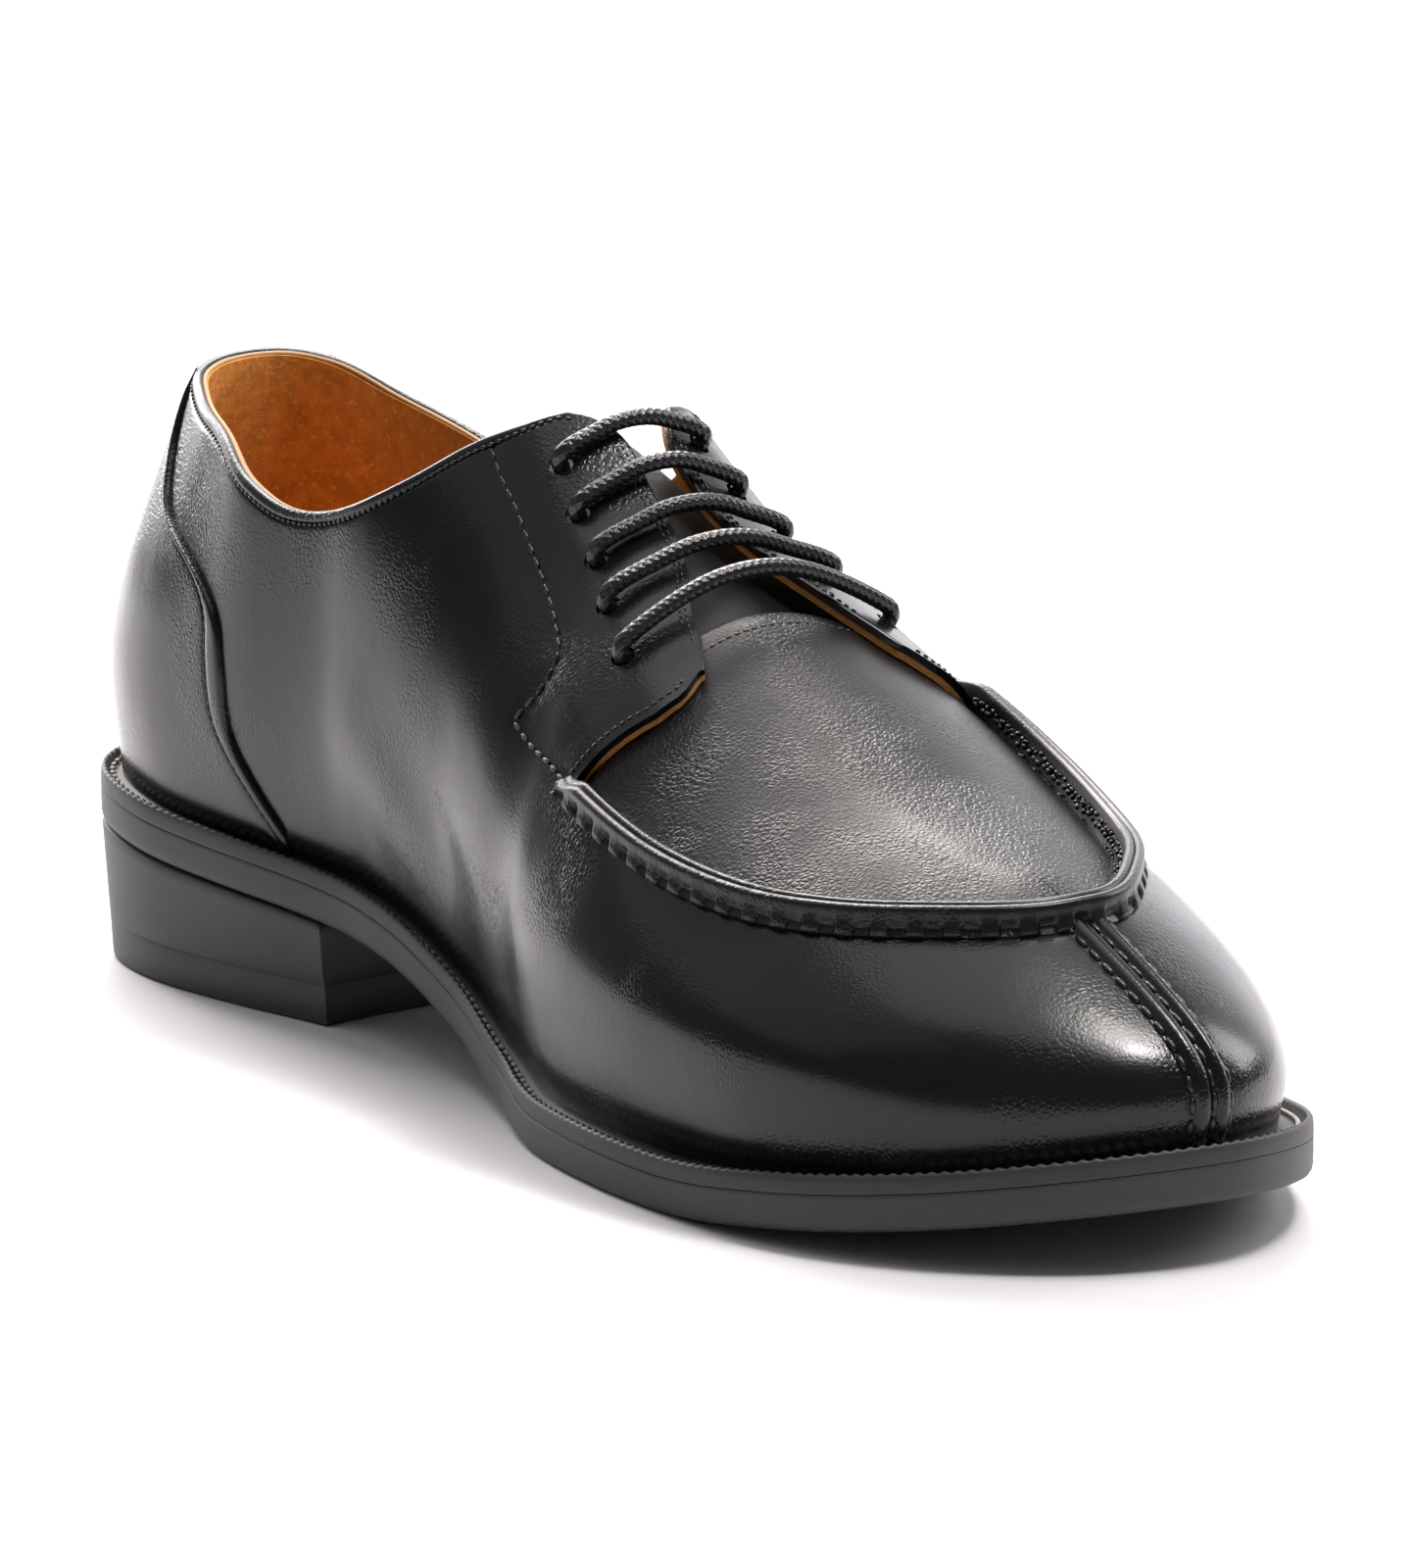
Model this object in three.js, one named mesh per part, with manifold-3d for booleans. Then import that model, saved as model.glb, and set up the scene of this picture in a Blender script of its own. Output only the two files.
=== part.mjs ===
// Split toe derby, one left shoe: last, sole, welt, heel, upper, tongue, insole and lace bars.
// Millimetres, +X from heel to toe, +Y to the wearer's left (the outer side), +Z up from the floor.
import * as THREE from 'three';
import { mergeVertices } from 'three/addons/utils/BufferGeometryUtils.js';
import Module from 'manifold-3d';

const wasm = await Module();
wasm.setup();

// Driving sizes of the sole
const soleLength = 307;
const ballWidth = 111.4;
const heelWidth = 68;
const heelHeight = 26;
const toeSpring = 10.6;
const outsoleThickness = 5.9;
const weltThickness = 2.6;
const weltLedge = 6.5;
const heelLength = 85.5;
const heelTaper = 1.8;
const breastHollow = 3.5;

// Driving sizes of the upper
const instepHeight = 98;
const collarHeight = 71;
const upperWall = 2.4;
const apronStep = 1.4;
const facingLift = 1;
const apronSeamHeight = 4;
const apronSeamWidth = 3.6;
const toeSeamHeight = 1.3;
const toeSeamWidth = 7.2;
const toeSeamShift = -1.4;
const counterStep = 1.3;

// Driving sizes of what goes inside and on top
const insoleThickness = 2.4;
const tongueThickness = 2;
const laceDiameter = 2.8;
const eyeletDiameter = 4.2;
const clearance = 0.3;

// Fineness of the faceted solids
const ribPairs = 40;
const laceQuarterSides = 2;
const laceSteps = 22;

// Sole outline, once round from the back of the heel along the inner side:
// shares of sole length and of the local width, and of the welt's ledge round the upper.
const outlineRows = [
  { along: 0.002, across: 0.022, ledge: 0.69 },
  { along: 0.015, across: -0.213, ledge: 0.69 },
  { along: 0.050, across: -0.385, ledge: 0.69 },
  { along: 0.116, across: -0.463, ledge: 0.69 },
  { along: 0.195, across: -0.447, ledge: 0.65 },
  { along: 0.274, across: -0.394, ledge: 0.58 },
  { along: 0.355, across: -0.371, ledge: 0.54 },
  { along: 0.436, across: -0.337, ledge: 0.55 },
  { along: 0.515, across: -0.361, ledge: 0.69 },
  { along: 0.593, across: -0.434, ledge: 0.80 },
  { along: 0.664, across: -0.474, ledge: 0.89 },
  { along: 0.733, across: -0.490, ledge: 0.95 },
  { along: 0.805, across: -0.485, ledge: 0.98 },
  { along: 0.876, across: -0.434, ledge: 0.95 },
  { along: 0.940, across: -0.325, ledge: 0.86 },
  { along: 0.984, across: -0.172, ledge: 0.80 },
  { along: 1.000, across: -0.009, ledge: 0.78 },
  { along: 0.989, across: 0.115, ledge: 0.80 },
  { along: 0.956, across: 0.233, ledge: 0.86 },
  { along: 0.902, across: 0.341, ledge: 0.93 },
  { along: 0.830, across: 0.427, ledge: 0.98 },
  { along: 0.749, across: 0.483, ledge: 0.95 },
  { along: 0.666, across: 0.508, ledge: 0.92 },
  { along: 0.581, across: 0.504, ledge: 0.85 },
  { along: 0.484, across: 0.494, ledge: 0.77 },
  { along: 0.375, across: 0.562, ledge: 0.69 },
  { along: 0.277, across: 0.562, ledge: 0.65 },
  { along: 0.195, across: 0.535, ledge: 0.69 },
  { along: 0.114, across: 0.509, ledge: 0.69 },
  { along: 0.047, across: 0.421, ledge: 0.69 },
  { along: 0.011, across: 0.244, ledge: 0.69 },
];

// Width of the sole goes from the heel's to the ball's: shares of the ball's part.
const widthRows = [
  { along: 0.30, ball: 0 },
  { along: 0.36, ball: 0.145 },
  { along: 0.425, ball: 0.5 },
  { along: 0.49, ball: 0.855 },
  { along: 0.55, ball: 1 },
];

// Underside of the sole above the floor: shares of heel height and of toe spring.
const undersideRows = [
  { along: 0.000, heel: 1.000, spring: 0 },
  { along: 0.130, heel: 0.858, spring: 0 },
  { along: 0.254, heel: 0.731, spring: 0 },
  { along: 0.342, heel: 0.600, spring: 0 },
  { along: 0.440, heel: 0.315, spring: 0 },
  { along: 0.528, heel: 0.077, spring: 0 },
  { along: 0.605, heel: 0.000, spring: 0 },
  { along: 0.725, heel: 0.000, spring: 0 },
  { along: 0.831, heel: 0.000, spring: 0.245 },
  { along: 0.919, heel: 0.000, spring: 0.585 },
  { along: 1.000, heel: 0.000, spring: 1 },
];

// Crown line of the closed last over the sole: shares of instep height and of ball width.
const crownRows = [
  { along: 0.130, rise: 1.292, across: 0.027 },
  { along: 0.228, rise: 1.296, across: 0.027 },
  { along: 0.326, rise: 1.220, across: 0.024 },
  { along: 0.397, rise: 1.092, across: 0.017 },
  { along: 0.443, rise: 1.025, across: 0.007 },
  { along: 0.489, rise: 0.952, across: 0.000 },
  { along: 0.537, rise: 0.885, across: -0.004 },
  { along: 0.586, rise: 0.800, across: -0.008 },
  { along: 0.619, rise: 0.744, across: -0.009 },
  { along: 0.668, rise: 0.667, across: -0.013 },
  { along: 0.733, rise: 0.580, across: -0.018 },
  { along: 0.798, rise: 0.498, across: -0.020 },
  { along: 0.853, rise: 0.430, across: -0.022 },
];

// How far the top of the instep lies flat under the facings, in millimetres at the crown line
const instepRows = [
  { along: 0.385, flat: 0 },
  { along: 0.430, flat: 2.2 },
  { along: 0.463, flat: 3.2 },
  { along: 0.500, flat: 4.1 },
  { along: 0.545, flat: 3.9 },
  { along: 0.578, flat: 2.0 },
  { along: 0.625, flat: 0 },
];
const flatFrom = 54;
const flatFull = 80;
const heelCrown = { along: 0.156, from: 0.326 };
const toeCrown = { along: 0.827, from: 0.651 };

// Bulge of the inner side at six angles up a rib: shares of the half width there.
const innerSideRows = [
  { along: 0.000, a10: 1.045, a22: 0.88, a36: 0.64, a50: 0.47, a64: 0.32, a78: 0.16 },
  { along: 0.065, a10: 1.050, a22: 0.89, a36: 0.65, a50: 0.48, a64: 0.33, a78: 0.16 },
  { along: 0.147, a10: 1.090, a22: 1.00, a36: 0.79, a50: 0.59, a64: 0.40, a78: 0.19 },
  { along: 0.244, a10: 1.200, a22: 1.24, a36: 1.14, a50: 0.88, a64: 0.58, a78: 0.27 },
  { along: 0.342, a10: 1.240, a22: 1.30, a36: 1.23, a50: 0.96, a64: 0.60, a78: 0.28 },
  { along: 0.423, a10: 1.180, a22: 1.22, a36: 1.13, a50: 0.90, a64: 0.62, a78: 0.31 },
  { along: 0.505, a10: 1.130, a22: 1.15, a36: 1.02, a50: 0.78, a64: 0.52, a78: 0.25 },
  { along: 0.603, a10: 1.090, a22: 1.09, a36: 0.96, a50: 0.78, a64: 0.53, a78: 0.25 },
  { along: 0.700, a10: 1.070, a22: 1.09, a36: 0.97, a50: 0.78, a64: 0.52, a78: 0.25 },
  { along: 0.798, a10: 1.050, a22: 1.07, a36: 0.95, a50: 0.76, a64: 0.52, a78: 0.25 },
  { along: 0.896, a10: 1.030, a22: 1.01, a36: 0.89, a50: 0.70, a64: 0.47, a78: 0.22 },
  { along: 1.000, a10: 1.030, a22: 0.99, a36: 0.84, a50: 0.64, a64: 0.42, a78: 0.19 },
];

// The same for the outer side.
const outerSideRows = [
  { along: 0.000, a10: 1.045, a22: 0.88, a36: 0.64, a50: 0.47, a64: 0.32, a78: 0.16 },
  { along: 0.065, a10: 1.050, a22: 0.89, a36: 0.66, a50: 0.48, a64: 0.33, a78: 0.16 },
  { along: 0.147, a10: 1.060, a22: 0.97, a36: 0.79, a50: 0.60, a64: 0.40, a78: 0.19 },
  { along: 0.244, a10: 1.080, a22: 1.00, a36: 0.88, a50: 0.70, a64: 0.47, a78: 0.23 },
  { along: 0.342, a10: 1.070, a22: 0.99, a36: 0.85, a50: 0.65, a64: 0.42, a78: 0.20 },
  { along: 0.423, a10: 1.060, a22: 0.98, a36: 0.82, a50: 0.61, a64: 0.40, a78: 0.20 },
  { along: 0.505, a10: 1.060, a22: 1.00, a36: 0.84, a50: 0.62, a64: 0.39, a78: 0.19 },
  { along: 0.603, a10: 1.060, a22: 1.03, a36: 0.91, a50: 0.72, a64: 0.48, a78: 0.23 },
  { along: 0.700, a10: 1.060, a22: 1.05, a36: 0.93, a50: 0.74, a64: 0.50, a78: 0.24 },
  { along: 0.798, a10: 1.040, a22: 1.04, a36: 0.92, a50: 0.73, a64: 0.50, a78: 0.24 },
  { along: 0.896, a10: 1.030, a22: 1.00, a36: 0.88, a50: 0.69, a64: 0.46, a78: 0.22 },
  { along: 1.000, a10: 1.030, a22: 0.99, a36: 0.84, a50: 0.64, a64: 0.42, a78: 0.19 },
];

// Apron seam: angle up the rib, in degrees, on the inner and outer side.
const apronRows = [
  { along: 0.489, inner: 36, outer: 42 },
  { along: 0.603, inner: 40, outer: 49 },
  { along: 0.668, inner: 42, outer: 51 },
  { along: 0.733, inner: 45, outer: 53.5 },
  { along: 0.814, inner: 51, outer: 57.5 },
  { along: 0.896, inner: 59.5, outer: 64 },
  { along: 1.000, inner: 69, outer: 69 },
];
const apronStart = 0.592;
const apronFull = 0.606;

// Topline over the sole at the back of the heel: shares of collar height on each side.
const toplineRows = [
  { along: -0.05, inner: 1.000, outer: 1.000 },
  { along: 0.055, inner: 0.995, outer: 0.995 },
  { along: 0.080, inner: 0.978, outer: 0.960 },
  { along: 0.115, inner: 0.940, outer: 0.885 },
  { along: 0.168, inner: 0.895, outer: 0.815 },
  { along: 0.219, inner: 0.812, outer: 0.755 },
  { along: 0.266, inner: 0.770, outer: 0.725 },
  { along: 0.323, inner: 0.812, outer: 0.760 },
  { along: 0.373, inner: 0.915, outer: 0.860 },
  { along: 0.406, inner: 1.012, outer: 0.975 },
  { along: 0.430, inner: 1.070, outer: 1.040 },
  { along: 0.456, inner: 1.160, outer: 1.085 },
  { along: 0.500, inner: 1.420, outer: 1.300 },
];

// Edges of the two facings seen from above: shares of sole length and of ball width.
const innerFacingEdge = [
  { along: 0.400, across: -0.108 },
  { along: 0.432, across: -0.110 },
  { along: 0.446, across: -0.070 },
  { along: 0.459, across: -0.038 },
  { along: 0.473, across: -0.025 },
  { along: 0.497, across: -0.033 },
  { along: 0.518, across: -0.040 },
  { along: 0.543, across: -0.061 },
  { along: 0.577, across: -0.113 },
  { along: 0.607, across: -0.153 },
  { along: 0.619, across: -0.180 },
  { along: 0.624, across: -0.215 },
  { along: 0.620, across: -0.260 },
  { along: 0.608, across: -0.305 },
  { along: 0.590, across: -0.345 },
  { along: 0.570, across: -0.400 },
];
const outerFacingEdge = [
  { along: 0.400, across: 0.110 },
  { along: 0.430, across: 0.112 },
  { along: 0.449, across: 0.084 },
  { along: 0.468, across: 0.052 },
  { along: 0.489, across: 0.038 },
  { along: 0.521, across: 0.045 },
  { along: 0.547, across: 0.066 },
  { along: 0.573, across: 0.102 },
  { along: 0.602, across: 0.148 },
  { along: 0.618, across: 0.190 },
  { along: 0.624, across: 0.235 },
  { along: 0.622, across: 0.280 },
  { along: 0.614, across: 0.325 },
  { along: 0.600, across: 0.360 },
  { along: 0.575, across: 0.410 },
];
const facingRear = { along: 0.35, across: 0.6, middle: 0.02 };
const vampRearEdge = 0.588;
const throatPoints = 9;

// Front edge of the counter: angle up the rib and share of sole length.
const counterRows = [
  { angle: 1.5, front: 0.240 },
  { angle: 4, front: 0.226 },
  { angle: 9, front: 0.206 },
  { angle: 14, front: 0.204 },
  { angle: 18, front: 0.196 },
  { angle: 20.5, front: 0.170 },
  { angle: 23, front: 0.122 },
  { angle: 27, front: 0.096 },
  { angle: 34, front: 0.082 },
  { angle: 44, front: 0.074 },
];

// Eyelets, top pair first: shares of sole length and of ball width, and how high the lace
// between them arches in millimetres.
const eyeletRows = [
  { innerAlong: 0.460, innerAcross: -0.131, outerAlong: 0.466, outerAcross: 0.108, arch: 0 },
  { innerAlong: 0.485, innerAcross: -0.147, outerAlong: 0.492, outerAcross: 0.126, arch: 0.4 },
  { innerAlong: 0.512, innerAcross: -0.165, outerAlong: 0.521, outerAcross: 0.150, arch: 0.4 },
  { innerAlong: 0.541, innerAcross: -0.196, outerAlong: 0.550, outerAcross: 0.180, arch: 0.4 },
  { innerAlong: 0.574, innerAcross: -0.230, outerAlong: 0.583, outerAcross: 0.216, arch: 1.8 },
];

// Lace bars: distance from the eyelet's middle, or share of the way across where it is under 1,
// and height of the lace's middle over the facings there.
const laceMouth = [
  { out: 0, lift: -0.5 },
  { out: 0, lift: 0.9 },
  { out: 0.8, lift: 2.1 },
  { out: 2.6, lift: 2.4 },
];
const laceSpan = [
  { across: 0.22, arch: 0.6 },
  { across: 0.36, arch: 0.9 },
  { across: 0.5, arch: 1 },
  { across: 0.64, arch: 0.9 },
  { across: 0.78, arch: 0.6 },
];

// Tongue: how far it lies under the last, as a share of instep height, and its edge angle.
const tongueRows = [
  { along: 0.394, drop: 0.185, edge: 58 },
  { along: 0.417, drop: 0.142, edge: 54 },
  { along: 0.449, drop: 0.097, edge: 52 },
  { along: 0.489, drop: 0.050, edge: 51 },
  { along: 0.537, drop: 0.027, edge: 50 },
  { along: 0.573, drop: 0.008, edge: 50 },
  { along: 0.606, drop: 0.000, edge: 52 },
];

const radians = Math.PI / 180;
const clamp = (value, low, high) => Math.min(Math.max(value, low), high);
const smoothstep = (low, high, value) => {
  const t = clamp((value - low) / (high - low), 0, 1);
  return t * t * (3 - 2 * t);
};

// A steady curve through one named column of a table: cubic pieces whose slopes come from
// the neighbouring rows and are held back so that it never overshoots a flat stretch.
function through(rows, at, column) {
  const xs = rows.map((row) => row[at]);
  const ys = rows.map((row) => row[column]);
  const last = xs.length - 1;
  const grade = [];
  for (let i = 0; i < last; i += 1) {
    grade.push((ys[i + 1] - ys[i]) / (xs[i + 1] - xs[i]));
  }
  const slope = [grade[0]];
  for (let i = 1; i < last; i += 1) {
    const before = xs[i] - xs[i - 1];
    const after = xs[i + 1] - xs[i];
    const mean = (after * grade[i - 1] + before * grade[i]) / (before + after);
    const limit = 3 * Math.min(Math.abs(grade[i - 1]), Math.abs(grade[i]));
    const level = grade[i - 1] * grade[i] <= 0;
    slope.push(level ? 0 : Math.sign(mean) * Math.min(Math.abs(mean), limit));
  }
  slope.push(grade[last - 1]);
  return (value) => {
    const x = clamp(value, xs[0], xs[last]);
    let i = 0;
    while (i < last - 1 && x > xs[i + 1]) {
      i += 1;
    }
    const step = xs[i + 1] - xs[i];
    const t = (x - xs[i]) / step;
    const u = 1 - t;
    return ys[i] * u * u * (1 + 2 * t) + slope[i] * step * t * u * u
      + ys[i + 1] * t * t * (3 - 2 * t) - slope[i + 1] * step * t * t * u;
  };
}

const ballShare = through(widthRows, 'along', 'ball');
const heelRise = through(undersideRows, 'along', 'heel');
const springRise = through(undersideRows, 'along', 'spring');
const crownRise = through(crownRows, 'along', 'rise');
const crownAcross = through(crownRows, 'along', 'across');
const instepFlat = through(instepRows, 'along', 'flat');
const ribAngles = [10, 22, 36, 50, 64, 78];
const innerBulge = ribAngles.map((angle) => through(innerSideRows, 'along', 'a' + angle));
const outerBulge = ribAngles.map((angle) => through(outerSideRows, 'along', 'a' + angle));
const apronInner = through(apronRows, 'along', 'inner');
const apronOuter = through(apronRows, 'along', 'outer');

// Heights of the layers of the sole at a place along it
const underside = (x) => heelHeight * heelRise(x / soleLength) + toeSpring * springRise(x / soleLength);
const seatHeight = outsoleThickness + clearance;
const featherHeight = seatHeight + weltThickness + clearance;
const soleTop = (x) => underside(x) + seatHeight;

// The sole outline: a closed round curve through the rows, 0 to 1 once round
function outlineRow(u) {
  const count = outlineRows.length;
  const place = (((u % 1) + 1) % 1) * count;
  const i = Math.floor(place);
  const t = place - i;
  const [a, b, c, d] = [-1, 0, 1, 2].map((k) => outlineRows[(i + k + count) % count]);
  const blend = (key) => 0.5 * (2 * b[key] + (c[key] - a[key]) * t
    + (2 * a[key] - 5 * b[key] + 4 * c[key] - d[key]) * t * t
    + (3 * b[key] - a[key] - 3 * c[key] + d[key]) * t * t * t);
  const along = blend('along');
  const width = heelWidth + (ballWidth - heelWidth) * ballShare(along);
  return { x: along * soleLength, y: blend('across') * width, ledge: blend('ledge') * weltLedge };
}

// A point of the outline, its outward normal, and the feather point that the upper stands on
function footing(u) {
  const step = 1e-4;
  const edge = outlineRow(u);
  const before = outlineRow(u - step);
  const after = outlineRow(u + step);
  const dx = after.x - before.x;
  const dy = after.y - before.y;
  const size = Math.hypot(dx, dy);
  const nx = dy / size;
  const ny = -dx / size;
  return { edge, nx, ny, x: edge.x - nx * edge.ledge, y: edge.y - ny * edge.ledge };
}

// The place where a value of u gives the lowest score between two bounds
function lowest(score, from, to) {
  let low = from;
  let high = to;
  for (let i = 0; i < 60; i += 1) {
    const third = (high - low) / 3;
    if (score(low + third) < score(high - third)) {
      high -= third;
    } else {
      low += third;
    }
  }
  return (low + high) / 2;
}

const heelU = lowest((u) => footing(u).x, -0.03, 0.03);
const toeU = lowest((u) => -footing(u).x, 0.47, 0.55);
const heelX = footing(heelU).x;
const toeX = footing(toeU).x;

// The outline place on one side whose feather point has a given x
function sideU(x, inner) {
  let back = inner ? heelU : 1 + heelU;
  let front = toeU;
  for (let i = 0; i < 50; i += 1) {
    const middle = (back + front) / 2;
    if (footing(middle).x < x) {
      back = middle;
    } else {
      front = middle;
    }
  }
  return (back + front) / 2;
}

// The crown point that the rib of a feather point runs up to. Ribs of the heel and the toe
// fan out from a short stretch of the crown line, so the ends of the last are round.
function crownX(x) {
  const toeFrom = toeCrown.from * soleLength;
  const heelFrom = heelCrown.from * soleLength;
  const toeBack = toeX - toeCrown.along * soleLength;
  const heelForward = heelCrown.along * soleLength - heelX;
  const toeShare = clamp((x - toeFrom) / (toeX - toeFrom), 0, 1);
  const heelShare = clamp((heelFrom - x) / (heelFrom - heelX), 0, 1);
  return x - toeBack * toeShare ** 2 + heelForward * heelShare ** 2;
}
const crownZ = (x) => soleTop(x) + weltThickness + clearance + instepHeight * crownRise(x / soleLength);

// Everything about one rib of the last: feather, crown, bulge and apron seam
const ribs = new Map();
function rib(u) {
  if (ribs.has(u)) {
    return ribs.get(u);
  }
  const foot = footing(u);
  const top = crownX(foot.x);
  const crown = { x: top, y: crownAcross(top / soleLength) * ballWidth, z: crownZ(top) };
  const reach = Math.hypot(foot.x - crown.x, foot.y - crown.y);
  const lean = (foot.y - crown.y) / reach;
  const inner = smoothstep(-0.5, 0.5, -lean);
  const along = foot.x / soleLength;
  const rows = [{ angle: 0, share: 1 }];
  ribAngles.forEach((angle, i) => {
    const share = innerBulge[i](along) * inner + outerBulge[i](along) * (1 - inner);
    rows.push({ angle, share });
  });
  rows.push({ angle: 90, share: 0 });
  const grade = (crownZ(top + 1) - crownZ(top - 1)) / 2;
  const flatGrade = (instepFlat((top + 1) / soleLength) - instepFlat((top - 1) / soleLength)) / 2;
  const made = {
    foot,
    crown,
    base: underside(foot.x) + featherHeight,
    share: through(rows, 'angle', 'share'),
    grade: foot.x > toeCrown.from * soleLength ? grade : 0,
    flat: instepFlat(top / soleLength),
    ridge: grade - flatGrade,
    apron: apronInner(along) * inner + apronOuter(along) * (1 - inner),
    along,
  };
  ribs.set(u, made);
  return made;
}

// A point of the last, up the rib of place u by an angle from 0 at the feather to 90 at the crown
function lastPoint(u, angle) {
  const r = rib(u);
  const share = r.share(angle);
  const rise = Math.sin(angle * radians);
  const x = r.crown.x + (r.foot.x - r.crown.x) * share;
  const y = r.crown.y + (r.foot.y - r.crown.y) * share;
  const z = r.base + (r.crown.z - r.base) * rise + r.grade * (x - r.crown.x) * rise * rise;
  return new THREE.Vector3(x, y, z - r.flat * smoothstep(flatFrom, flatFull, angle));
}

// The outward normal of the last there
function lastNormal(u, angle) {
  if (angle > 88.5) {
    return new THREE.Vector3(-rib(u).ridge, 0, 1).normalize();
  }
  const low = Math.max(angle - 0.5, 0);
  const up = lastPoint(u, low + 1).sub(lastPoint(u, low));
  const round = lastPoint(u + 5e-4, angle).sub(lastPoint(u - 5e-4, angle));
  return round.cross(up).normalize();
}

const skin = (u, angle, out) => lastPoint(u, angle).addScaledVector(lastNormal(u, angle), out);

// How far the apron is let in below the sides, growing between two places along the last
const apronDepth = (along, from, to) => apronStep * smoothstep(from, to, along);

// How far the loose front corner of a facing stands up over the sides
const facingRise = (r, angle) => facingLift
  * smoothstep(0.5, 0.57, r.along)
  * smoothstep(r.apron, r.apron + 12, angle);

// A closed mesh as a solid, and back
function solid(positions, index) {
  const mesh = new wasm.Mesh({
    numProp: 3,
    vertProperties: new Float32Array(positions),
    triVerts: new Uint32Array(index),
  });
  return new wasm.Manifold(mesh);
}
function solidOf(geometry) {
  const bare = geometry.clone();
  bare.deleteAttribute('normal');
  bare.deleteAttribute('uv');
  const merged = mergeVertices(bare, 1e-4);
  return solid(merged.attributes.position.array, merged.index.array);
}
function geometryOf(body) {
  const mesh = body.getMesh();
  const geometry = new THREE.BufferGeometry();
  geometry.setAttribute('position', new THREE.BufferAttribute(new Float32Array(mesh.vertProperties), 3));
  geometry.setIndex(new THREE.BufferAttribute(new Uint32Array(mesh.triVerts), 1));
  geometry.computeVertexNormals();
  return geometry;
}

// Pairs of ribs, an inner and an outer one for each place along the last
const ribXs = [];
for (let i = 0; i <= ribPairs; i += 1) {
  const share = (1 - Math.cos((Math.PI * i) / ribPairs)) / 2;
  ribXs.push(heelX + (toeX - heelX) * share);
}
ribXs.push(apronStart * soleLength, apronFull * soleLength);
ribXs.sort((a, b) => a - b);
const lastPair = ribXs.length - 1;
const sideUs = (heelEnd, inner) => [
  heelEnd,
  ...ribXs.slice(1, lastPair).map((x) => sideU(x, inner)),
  toeU,
];
const innerUs = sideUs(heelU, true);
const outerUs = sideUs(1 + heelU, false);

// Places once round from the heel tip: inner side forward, toe tip, outer side back
const ringUs = [...innerUs, ...outerUs.slice(1, lastPair).reverse()];
const ringCount = ringUs.length;
const mate = (i) => (ringCount - i) % ringCount;

// A closed form with the last's ribs: a foot ring, a ring for each level, and the crown line.
// levels(u) lists angle and offset pairs, the last of them at the crown.
function lastForm(levels, footDrop) {
  const positions = [];
  const index = [];
  const lists = ringUs.map((u) => levels(u));
  const rings = lists[0].length - 1;
  ringUs.forEach((u, i) => {
    const low = skin(u, lists[i][0].angle, lists[i][0].out);
    positions.push(low.x, low.y, soleTop(rib(u).foot.x) - footDrop);
  });
  for (let level = 0; level < rings; level += 1) {
    ringUs.forEach((u, i) => {
      const { angle, out, raised } = lists[i][level];
      const at = skin(u, angle, out);
      if (raised) {
        const up = lastNormal(u, angle).multiplyScalar(seamLean).add(new THREE.Vector3(0, 0, 1)).normalize();
        at.addScaledVector(up, raised);
      }
      positions.push(at.x, at.y, at.z);
    });
  }
  const crownStart = (rings + 1) * ringCount;
  for (let i = 0; i <= lastPair; i += 1) {
    const at = skin(ringUs[i], 90, lists[i][rings].out);
    positions.push(at.x, at.y, at.z);
  }
  const quad = (a, b, c, d) => index.push(a, b, c, a, c, d);
  for (let level = 0; level < rings; level += 1) {
    for (let i = 0; i < ringCount; i += 1) {
      const j = (i + 1) % ringCount;
      const low = level * ringCount;
      const high = low + ringCount;
      quad(low + i, low + j, high + j, high + i);
    }
  }
  const top = rings * ringCount;
  for (let i = 0; i < lastPair; i += 1) {
    quad(top + i, top + i + 1, crownStart + i + 1, crownStart + i);
    quad(top + mate(i + 1), top + mate(i), crownStart + i, crownStart + i + 1);
  }
  capDown(index, 0, lastPair, mate);
  return solid(positions, index);
}

// Flat bands across between the two sides of a ring, facing down or up
function capDown(index, start, pairs, mateOf) {
  for (let i = 0; i < pairs; i += 1) {
    const [a, b] = [start + i, start + i + 1];
    const [c, d] = [start + mateOf(i + 1), start + mateOf(i)];
    if (b !== c) {
      index.push(a, c, b);
    }
    if (a !== d) {
      index.push(a, d, c);
    }
  }
}
function capUp(index, start, pairs, mateOf) {
  const down = [];
  capDown(down, start, pairs, mateOf);
  for (let i = 0; i < down.length; i += 3) {
    index.push(down[i], down[i + 2], down[i + 1]);
  }
}

// A layer of the sole: an outline pulled in by inset, from its lower face (side 0) to its upper
// one (side 1), from the heel tip to the rib pair endPair, flat in front where it stops short
function layer(inset, height, endPair) {
  const whole = endPair >= lastPair;
  const us = whole ? ringUs : [...innerUs.slice(0, endPair + 1), ...outerUs.slice(1, endPair + 1).reverse()];
  const count = us.length;
  const positions = [];
  const index = [];
  [0, 1].forEach((side) => {
    us.forEach((u) => {
      const foot = footing(u);
      const pull = inset(foot, side);
      const x = foot.edge.x - foot.nx * pull;
      const y = foot.edge.y - foot.ny * pull;
      positions.push(x, y, height(x, side));
    });
  });
  for (let i = 0; i < count; i += 1) {
    const j = (i + 1) % count;
    index.push(i, j, count + j, i, count + j, count + i);
  }
  const mateOf = (i) => (count - i) % count;
  capDown(index, 0, whole ? lastPair : endPair, mateOf);
  capUp(index, count, whole ? lastPair : endPair, mateOf);
  return solid(positions, index);
}

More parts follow.
